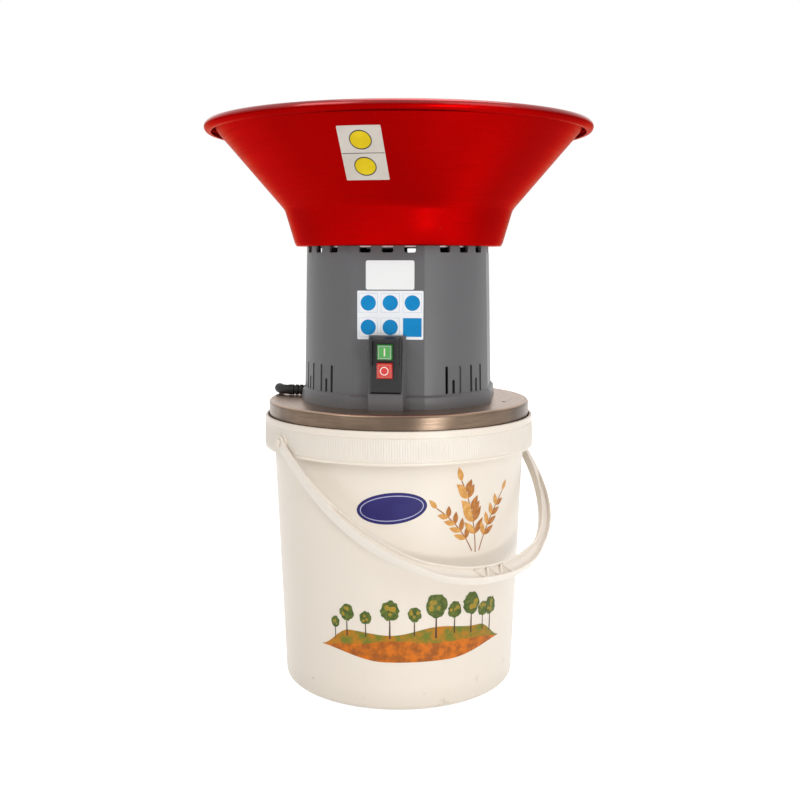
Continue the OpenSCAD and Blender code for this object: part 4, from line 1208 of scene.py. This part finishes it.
@dataclass
class Bail:
    """The plastic bail: a channelled strap that swells into its grip, hung on the ears."""

    half: float = 153.8
    length: float = 212.0
    power: float = 2.2
    height: float = 11.0
    depth: float = 11.0
    grip_depth: float = 16.0
    end_depth: float = 3.0
    flange: float = 1.8
    web: float = 2.4
    steps: int = 240
    drop: float = 37.0
    eye_r: float = 7.2
    ribs: int = 5
    rib_gap: float = 9.0
    rib_slant: float = 30.0

    def point(self, share: float) -> Vector:
        """Gives the strap's middle line in the bail's plane, from 0 at one eye to 1 at the other."""
        angle = math.pi * share
        across = math.cos(angle)
        x = self.half * math.copysign(abs(across) ** (2 / self.power), across)
        return Vector((x, -self.length * math.sin(angle) ** (2 / self.power), 0)) * MM

    def frame_at(self, share: float) -> tuple[Vector, Vector]:
        """Gives the line's point and the direction out of the strap there."""
        here = self.point(share)
        step = 0.5 / self.steps
        ahead = self.point(min(1, share + step)) - self.point(max(0, share - step))
        along = ahead.normalized()
        return here, Vector((along.y, -along.x, 0)) * -1

    def section(self, share: float) -> list[Pair]:
        """Gives the strap's section at a place: two edges with a web in a channel between them.

        Args:
            share: The place, from 0 at one eye to 1 at the other.

        Returns:
            Pairs of out and across, in millimetres.
        """
        end, middle = min(share, 1 - share), abs(share - 0.5)
        deep = self.end_depth + (self.depth - self.end_depth) * ease(end, 0.033, 0.233)
        deep += (self.grip_depth - self.depth) * (1 - ease(middle, 0.1, 0.167))
        out, up = deep / 2, self.height / 2
        wall = min(self.flange, out * 0.55)
        soft = wall / 3.2
        floor = up - 0.02 - (up - self.web / 2) * ease(end, 0.12, 0.16) * 0.99
        lip = min(soft, (up - floor) / 2)
        corner = [
            (out, up - soft), (out - soft * 0.3, up - soft * 0.3), (out - soft, up), (out - wall + soft, up),
            (out - wall, up - lip), (out - wall, floor + lip * 0.5), (out - wall - soft * 0.6, floor),
        ]
        upper = corner + [(-o, a) for o, a in reversed(corner)]
        return upper + [(-o, -a) for o, a in upper]

    def strap(self, form: bmesh.types.BMesh) -> None:
        """Sweeps the strap's section along its line."""
        rings = []
        for i in range(self.steps + 1):
            share = i / self.steps
            here, out = self.frame_at(share)
            rings.append([here + out * (o * MM) + Vector((0, 0, a * MM)) for o, a in self.section(share)])
        loft(form, rings)

    def zigzag(self, form: bmesh.types.BMesh) -> None:
        """Adds the slanting ribs across the middle of the grip."""
        reach = Vector((0.8, (self.grip_depth - self.flange) / 2, self.height / 2 - 0.8)) * MM
        for i in range(self.ribs):
            at = Vector(((i - (self.ribs - 1) / 2) * self.rib_gap, -self.length, 0)) * MM
            slant = -self.rib_slant if i % 2 else self.rib_slant
            turn = Matrix.Translation(at) @ Matrix.Rotation(math.radians(slant), 4, "Z")
            block(form, -reach, reach, turn)

    def eyes(self, form: bmesh.types.BMesh) -> None:
        """Adds the round eyes that sit on the pail's pins."""
        half_t = self.end_depth / 2
        for side in (-1, 1):
            outline = [
                (3.6, -half_t), (self.eye_r - 0.5, -half_t), (self.eye_r, -half_t + 0.5),
                (self.eye_r, half_t - 0.5), (self.eye_r - 0.5, half_t), (3.6, half_t),
            ]
            upright = Matrix.Rotation(math.radians(90), 4, "Y")
            add_turned(form, outline, 64, Matrix.Translation((side * self.half * MM, 0, 0)) @ upright)

    def build(self) -> None:
        """Makes the bail where it hangs."""
        place = (
            Matrix.Rotation(math.radians(EAR_TURN), 4, "Z")
            @ Matrix.Translation((0, 0, EAR_Z * MM))
            @ Matrix.Rotation(math.radians(self.drop), 4, "X")
        )
        form = bmesh.new()
        self.strap(form)
        self.zigzag(form)
        self.eyes(form)
        bmesh.ops.transform(form, matrix=place, verts=form.verts)
        piece = fit_piece(as_object("bail_strap", form), BAIL_WHITE, "bail")
        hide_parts("bail_handle")


# ---------------------------------------------------------------- pail print


@dataclass
class Print:
    """The pail's print: a plain oval, a sprig of leaves and a band of fields with trees."""

    mean_r: float = 136.0
    lift: float = 0.08
    layer: float = 0.05
    band_left: float = -31.0
    band_right: float = 62.0

    def place(self, u: float, v: float, lift: float) -> Vector:
        """Gives the point of the wall across and up from the middle of its front, in metres."""
        angle = u / (self.mean_r * MM)
        reach = (WALL_FOOT_R + WALL_SLOPE * v / MM) * MM + lift
        return Vector((reach * math.sin(angle), -reach * math.cos(angle), v))

    def across(self, degrees: float) -> float:
        """Gives how far along the wall an angle is, in millimetres."""
        return math.radians(degrees) * self.mean_r

    def patch(self, name: str, shapes: Iterable[Sequence[Pair]], finish: Ink, level: int) -> None:
        """Prints some shapes as one piece.

        Args:
            name: The piece's name.
            shapes: Outlines in millimetres.
            finish: Their ink.
            level: Which layer of ink they are in.
        """
        film(name, shapes, self.place, finish, self.lift + self.layer * level, self.layer, "pail")

    def oval_sign(self) -> None:
        """Prints the plain tilted oval and its pale rim."""
        centre = (self.across(4), 221.0)
        tilt = math.radians(6)

        def tilted(outline: Sequence[Pair]) -> list[Pair]:
            """Turns an outline about the oval's centre."""
            turned = []
            for u, v in outline:
                du, dv = u - centre[0], v - centre[1]
                turned.append(
                    (
                        centre[0] + du * math.cos(tilt) - dv * math.sin(tilt),
                        centre[1] + du * math.sin(tilt) + dv * math.cos(tilt),
                    )
                )
            return turned

        self.patch("oval_panel", [tilted(oval(centre, 36, 16.5))], OVAL_BLUE, 0)
        rim = annulus(oval(centre, 32.6, 13.4), 0.9)
        self.patch("oval_rim", [tilted(part) for part in rim], OVAL_RIM, 1)

    @staticmethod
    def leaf(foot: Pair, angle: float, length: float, width: float) -> list[Pair]:
        """Gives a pointed leaf's outline from its foot, in the direction of an angle in degrees."""
        turn = math.radians(angle)
        cos, sin = math.cos(turn), math.sin(turn)
        count = 9
        shares = [i / count for i in range(1, count)]
        right = [(length * t, width * math.sin(math.pi * t**0.85)) for t in shares]
        outline = [(0.0, 0.0)] + right + [(length, 0.0)] + [(a, -b) for a, b in reversed(right)]
        return [(foot[0] + a * cos + b * sin, foot[1] + a * sin - b * cos) for a, b in outline]

    def sprig(self) -> None:
        """Prints three curved stems with pairs of golden leaves."""
        stems, light, dark = [], [], []
        for start, lean, bow, pairs, size in (
            ((self.across(43), 168.0), 92, 12, 6, 0.92),
            ((self.across(45), 169.0), 72, -12, 4, 0.78),
            ((self.across(41), 170.0), 116, 14, 4, 0.74),
        ):
            line = []
            for i in range(13):
                share = i / 12
                angle = math.radians(lean + bow * share)
                reach = 88 * size * share
                line.append((start[0] + reach * math.cos(angle), start[1] + reach * math.sin(angle)))
            for (u0, v0), (u1, v1) in zip(line, line[1:]):
                du, dv = u1 - u0, v1 - v0
                long = math.hypot(du, dv)
                nu, nv = -dv / long * 0.6, du / long * 0.6
                below = [(u0 - nu, v0 - nv), (u1 - nu, v1 - nv)]
                stems.append(below + [(u1 + nu, v1 + nv), (u0 + nu, v0 + nv)])
            for k in range(pairs):
                share = 0.28 + 0.68 * k / pairs
                at = line[round(share * 12)]
                heading = lean + bow * share
                long = (24 - 9 * share) * size
                light.append(self.leaf(at, heading + 38, long, 4.0 * size))
                dark.append(self.leaf(at, heading - 38, long, 4.0 * size))
            light.append(self.leaf(line[-1], lean + bow, 17 * size, 3.6 * size))
        self.patch("sprig_stems", stems, STEM_BROWN, 0)
        self.patch("sprig_leaves_dark", dark, LEAF_BROWN, 1)
        self.patch("sprig_leaves_light", light, LEAF_GOLD, 2)

    def hill(self, foot: float, crest: float, wave: float, phase: float, low: float) -> list[Pair]:
        """Gives a rolling field's outline.

        Args:
            foot: The height of its lower edge.
            crest: The mean height of its upper edge.
            wave: How much the upper edge rolls.
            phase: Where the roll begins, in radians.
            low: The height that its ends run out at.

        Returns:
            The outline in millimetres.
        """
        left, right = self.across(self.band_left), self.across(self.band_right)
        count = 48
        upper = []
        for i in range(1, count):
            share = i / count
            roll = math.sin(share * 9 + phase) + 0.5 * math.sin(share * 17 + phase * 2)
            end = 1 - ease(min(share, 1 - share), 0.0, 0.16)
            upper.append((left + (right - left) * share, (crest + wave * roll) * (1 - end) + low * end))
        lower = []
        for i in range(count + 1):
            share = 1 - i / count
            end = 1 - ease(min(share, 1 - share), 0.0, 0.34)
            lower.append((left + (right - left) * share, foot * (1 - end) + low * end))
        return upper + lower

    def fields(self) -> None:
        """Prints two low fields and the round trees that stand on them."""
        self.patch("field_back", [self.hill(64, 88, 3, 2.1, 67)], FIELD_BACK, 0)
        self.patch("field_front", [self.hill(55, 75, 2.5, 4.0, 66.5)], FIELD_FRONT, 1)
        rng = random.Random(11)
        trunks: list[list[Pair]] = []
        crowns: dict[Ink, list[list[Pair]]] = {TREE_GREEN: [], TREE_GOLD: []}
        for degrees, foot, size in (
            (-23, 80, 6), (-17, 85, 9), (-8, 86, 7), (3, 85, 11), (14, 88, 8), (24, 84, 13),
            (33, 87, 9), (42, 84, 12), (49, 84, 8), (54, 80, 10),
        ):
            u = self.across(degrees)
            high = foot + size * 2.4
            base, thick = foot - 4, size * 0.09
            trunks.append([(u - thick, base), (u + thick, base), (u + 0.4, high), (u - 0.4, high)])
            blobs = [(TREE_GREEN, 0.0, 0.0, 1.0)]
            for _ in range(4):
                shift, rise = rng.uniform(-0.5, 0.5), rng.uniform(-0.5, 0.6)
                blobs.append((TREE_GOLD, shift, rise, rng.uniform(0.16, 0.3)))
            for finish, shift, rise, share in blobs:
                middle_u, middle_v = u + size * shift, high + size * rise
                outline = []
                for i in range(24):
                    angle = 2 * math.pi * i / 24
                    reach = size * share * (1 + 0.1 * rng.uniform(-1, 1))
                    across, up = reach * 0.9 * math.cos(angle), reach * math.sin(angle)
                    outline.append((middle_u + across, middle_v + up))
                crowns[finish].append(outline)
        self.patch("tree_trunks", trunks, TREE_TRUNK, 2)
        self.patch("tree_crowns", crowns[TREE_GREEN], TREE_GREEN, 3)
        self.patch("tree_lights", crowns[TREE_GOLD], TREE_GOLD, 4)

    def build(self) -> None:
        """Prints everything."""
        self.oval_sign()
        self.fields()
        self.sprig()


# ---------------------------------------------------------------- housing and switch


@dataclass
class Housing:
    """The grey housing with its bare rating plate and a label of plain marks."""

    foot_z: float = 318.0
    height: float = 169.0
    front: float = 94.5
    radius: float = 102.0
    draft: float = 4.0
    label_left: float = -31.5
    label_right: float = 37.5
    label_low: float = 390.6
    label_high: float = 440.9

    def place(self, u: float, v: float, lift: float) -> Vector:
        """Gives the point of the front wall across and up, in metres."""
        lean = self.draft * (1 - (v / MM - self.foot_z) / self.height)
        flat = (self.front + lean) * MM
        ring = (self.radius + lean) * MM
        reach = min(flat, math.sqrt(max(0.0, ring * ring - u * u)))
        return Vector((u, -reach - lift, v))

    def rating_plate(self) -> None:
        """Sticks the bare foil plate on."""
        plate = rounded((-22.5, 442), (28, 472), 2)
        film("rating_plate", [plate], self.place, RATING_FOIL, 0.02, 0.3)

    def information_label(self) -> None:
        """Sticks the white label on: five plain discs and a square, each in a fine frame."""
        low, high = (self.label_left, self.label_low), (self.label_right, self.label_high)
        film("information_label", [rounded(low, high, 1.2)], self.place, LABEL_WHITE, 0.02, 0.18)
        lines, marks = [], []
        cell_w = (self.label_right - self.label_left) / 3
        cell_h = (self.label_high - self.label_low) / 2
        for row in range(2):
            for column in range(3):
                u = self.label_left + cell_w * (column + 0.5)
                v = self.label_low + cell_h * (row + 0.5)
                lines += annulus(rounded((u - 9.8, v - 9.8), (u + 9.8, v + 9.8), 0.2, 1), 0.25)
                if row == 0 and column == 2:
                    marks.append(rounded((u - 9.6, v - 9.6), (u + 9.6, v + 9.6), 0.2, 1))
                else:
                    marks.append(oval((u, v), 8, 8, 40))
        film("label_frames", lines, self.place, LABEL_LINE, 0.2, 0.03)
        film("label_marks", marks, self.place, LABEL_BLUE, 0.23, 0.03)

    def build(self) -> None:
        """Dresses the housing and sticks its labels on."""
        dress_node("motor_housing", HOUSING_GREY)
        self.rating_plate()
        self.information_label()


@dataclass
class SwitchUnit:
    """The black switch with its green start button and red stop button."""

    start_face: float = -119.0
    stop_face: float = -121.0
    start_z: float = 379.0
    stop_z: float = 360.0
    side: float = 16.0

    def cap(self, name: str, face: float, z: float, rim: Moulded, shapes: Iterable[Sequence[Pair]]) -> None:
        """Prints a legend on a button's face and edges the cap in clear plastic.

        Args:
            name: The name of the button and of the body that carries it.
            face: The face's place along Y.
            z: The height of its middle.
            rim: The finish of the cap's clear edge.
            shapes: The legend's outlines about the middle, in millimetres.
        """

        def place(u: float, v: float, lift: float) -> Vector:
            """Gives a point of the face."""
            return Vector((u, face * MM - lift, v + z * MM))

        half = self.side / 2 - 1.2
        border = annulus(rounded((-half, -half), (half, half), 0.4, 2), 1.1)
        film(name + "_legend", shapes, place, LEGEND_WHITE, 0.02, 0.08, name)
        film(name + "_edge", border, place, rim, 0.01, 0.12, name)

    def build(self) -> None:
        """Dresses the switch and its buttons."""
        dress_node("switch_frame", SWITCH_BLACK)
        dress_node("start_button", START_GREEN)
        dress_node("stop_button", STOP_RED)
        bar = [rounded((-0.7, -4), (0.7, 4), 0.3, 2)]
        ring = annulus(oval((0, 0), 4.4, 4.4, 40), 0.9)
        self.cap("start_button", self.start_face, self.start_z, START_EDGE, bar)
        self.cap("stop_button", self.stop_face, self.stop_z, STOP_EDGE, ring)


# ---------------------------------------------------------------- hopper and feed


@dataclass
class Hopper:
    """The spun steel hopper, its floor, its screws and its plain label."""

    foot_z: float = 487.0
    height: float = 131.8
    flange_r: float = 84.0
    foot_r: float = 114.2
    knuckle: Pair = (125.7, 39.4)
    cone_top: Pair = (181.8, 104.5)
    flare: Pair = (190.0, 113.9)
    lip_r: float = 211.0
    roll: float = 5.5
    sheet: float = 1.5
    sticker_turn: float = -4.8

    def outside(self) -> list[Pair]:
        """Gives the outer face's profile from the flange's bore to the end of the rolled lip."""
        (kr, kh), (tr, th), (fr, fh) = self.knuckle, self.cone_top, self.flare
        foot = self.foot_r
        wall = [(self.flange_r, 0.0), (foot - 2.0, 0.0), (foot - 0.9, 0.3), (foot - 0.2, 1.2)]
        wall += [(foot + (kr - foot) * t, kh * t) for t in (0.1, 0.5, 0.9)]
        before = (foot + (kr - foot) * 0.93, kh * 0.93)
        after = (kr + (tr - kr) * 0.05, kh + (th - kh) * 0.05)
        for t in (0.25, 0.5, 0.75):
            near, middle, far = (1 - t) ** 2, 2 * t * (1 - t), t * t
            bend = zip(before, self.knuckle, after)
            wall.append(tuple(near * a + middle * b + far * c for a, b, c in bend))
        wall += [(kr + (tr - kr) * t, kh + (th - kh) * t) for t in (0.1, 0.4, 0.7, 0.96)]
        wall += [(tr + (fr - tr) * t, th + (fh - th) * t) for t in (0.05, 0.5, 0.95)]
        centre = (self.lip_r - self.roll, self.height - self.roll)
        return wall + arc(centre, self.roll - self.sheet, 140, -110, 20)

    def bowl(self) -> bpy.types.Object:
        """Turns the sheet from its outer face and its thickness."""
        path = self.outside()
        inner = []
        for i, here in enumerate(path):
            before, after = path[max(i - 1, 0)], path[min(i + 1, len(path) - 1)]
            du, dv = after[0] - before[0], after[1] - before[1]
            long = math.hypot(du, dv)
            inner.append((here[0] - dv / long * self.sheet, here[1] + du / long * self.sheet))
        form = bmesh.new()
        profile = [(r * MM, (z + self.foot_z) * MM) for r, z in path + inner[::-1]]
        revolve(form, profile, 288)
        return as_object("hopper_bowl", form, 40)

    def place(self, u: float, v: float, lift: float) -> Vector:
        """Gives the point of the outer cone across and at a height, in metres."""
        (kr, kh), (tr, th) = self.knuckle, self.cone_top
        share = (v / MM - self.foot_z - kh) / (th - kh)
        reach = (kr + (tr - kr) * share) * MM
        angle = u / reach + math.radians(self.sticker_turn)
        slant = math.atan2(tr - kr, th - kh)
        reach += lift * math.cos(slant)
        return Vector((reach * math.sin(angle), -reach * math.cos(angle), v - lift * math.sin(slant)))

    def sticker(self) -> None:
        """Sticks on the pale label with two plain yellow discs."""
        sheet = rounded((-21.5, 550), (21.5, 597.5), 1)
        divider = rounded((-21, 573.5), (21, 574.1), 0.2, 1)
        discs, rings = [], []
        for v in (562.2, 585.3):
            discs.append(oval((0, v), 11, 8.4, 40))
            rings += annulus(oval((0, v), 11, 8.4, 40), 1.0)
        for name, shapes, finish, lift, depth in (
            ("hopper_label", [sheet], LABEL_CREAM, 0.06, 0.12),
            ("hopper_label_line", [divider], STICKER_LINE, 0.18, 0.03),
            ("hopper_label_discs", discs, STICKER_YELLOW, 0.18, 0.03),
            ("hopper_label_rings", rings, STICKER_LINE, 0.21, 0.03),
        ):
            film(name, shapes, self.place, finish, lift, depth, step=0.005)

    def build(self) -> None:
        """Makes the hopper and dresses what is in it."""
        piece = fit_piece(self.bowl(), HOPPER_SHEET, "mill")
        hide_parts("hopper")
        dress_node("hopper_floor", SHEET_STEEL)
        dress_node("hopper_screws", PLATED_STEEL)
        dress_node("support_ring", SHEET_STEEL)
        self.sticker()


@dataclass
class NodeSet:
    """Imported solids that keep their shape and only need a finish."""

    name: str
    finishes: dict[str, Finish]

    def build(self) -> None:
        """Dresses each of them."""
        for node, finish in self.finishes.items():
            dress_node(node, finish)
        log.info("%s dressed", self.name)


LID = NodeSet("lid", {"lid_plate": LID_STEEL, "lid_gasket": GASKET_BLACK})

FEED = NodeSet("feed", {"feed_chute": CHUTE_BLACK, "feed_shutter": SHEET_STEEL, "shutter_knob": KNOB_BLACK})

MOTOR = NodeSet(
    "motor",
    {
        "lower_end_bell": CAST_ALLOY,
        "lower_bearing": BEARING_STEEL,
        "shaft_seal": GASKET_BLACK,
        "stator_core": LAMINATION,
        "field_coils": COPPER_WIRE,
        "upper_end_bell": BRACKET_BLACK,
        "upper_bearing": BEARING_STEEL,
        "brush_holders": BRASS,
        "carbon_brushes": CARBON,
        "motor_bolts": PLATED_STEEL,
        "suppressor": SUPPRESSOR_YELLOW,
        "motor_shaft": TURNED_STEEL,
        "armature_core": LAMINATION,
        "armature_windings": COPPER_WIRE,
        "commutator": COMMUTATOR_COPPER,
        "cooling_fan": FAN_BLACK,
    },
)

CHAMBER = NodeSet(
    "milling chamber",
    {
        "blade_spacer": TURNED_STEEL,
        "hammer_blade": TURNED_STEEL,
        "blade_nut": PLATED_STEEL,
        "screen": SCREEN_STEEL,
        "screen_plate": SHEET_STEEL,
        "screen_studs": PLATED_STEEL,
        "wing_nuts": PLATED_STEEL,
        "housing_screws": PLATED_STEEL,
    },
)


def main() -> None:
    """Builds the studio and the mill, piece by piece."""
    logging.basicConfig(level=logging.INFO, format="%(name)s: %(message)s")
    Studio().build()
    for assembly in (
        PowerCord(), Pail(), Bail(), Print(), LID, Housing(), SwitchUnit(), Hopper(), FEED, MOTOR, CHAMBER,
    ):
        assembly.build()
        log.info("%s ready", getattr(assembly, "name", type(assembly).__name__))


if __name__ == "__main__":
    main()
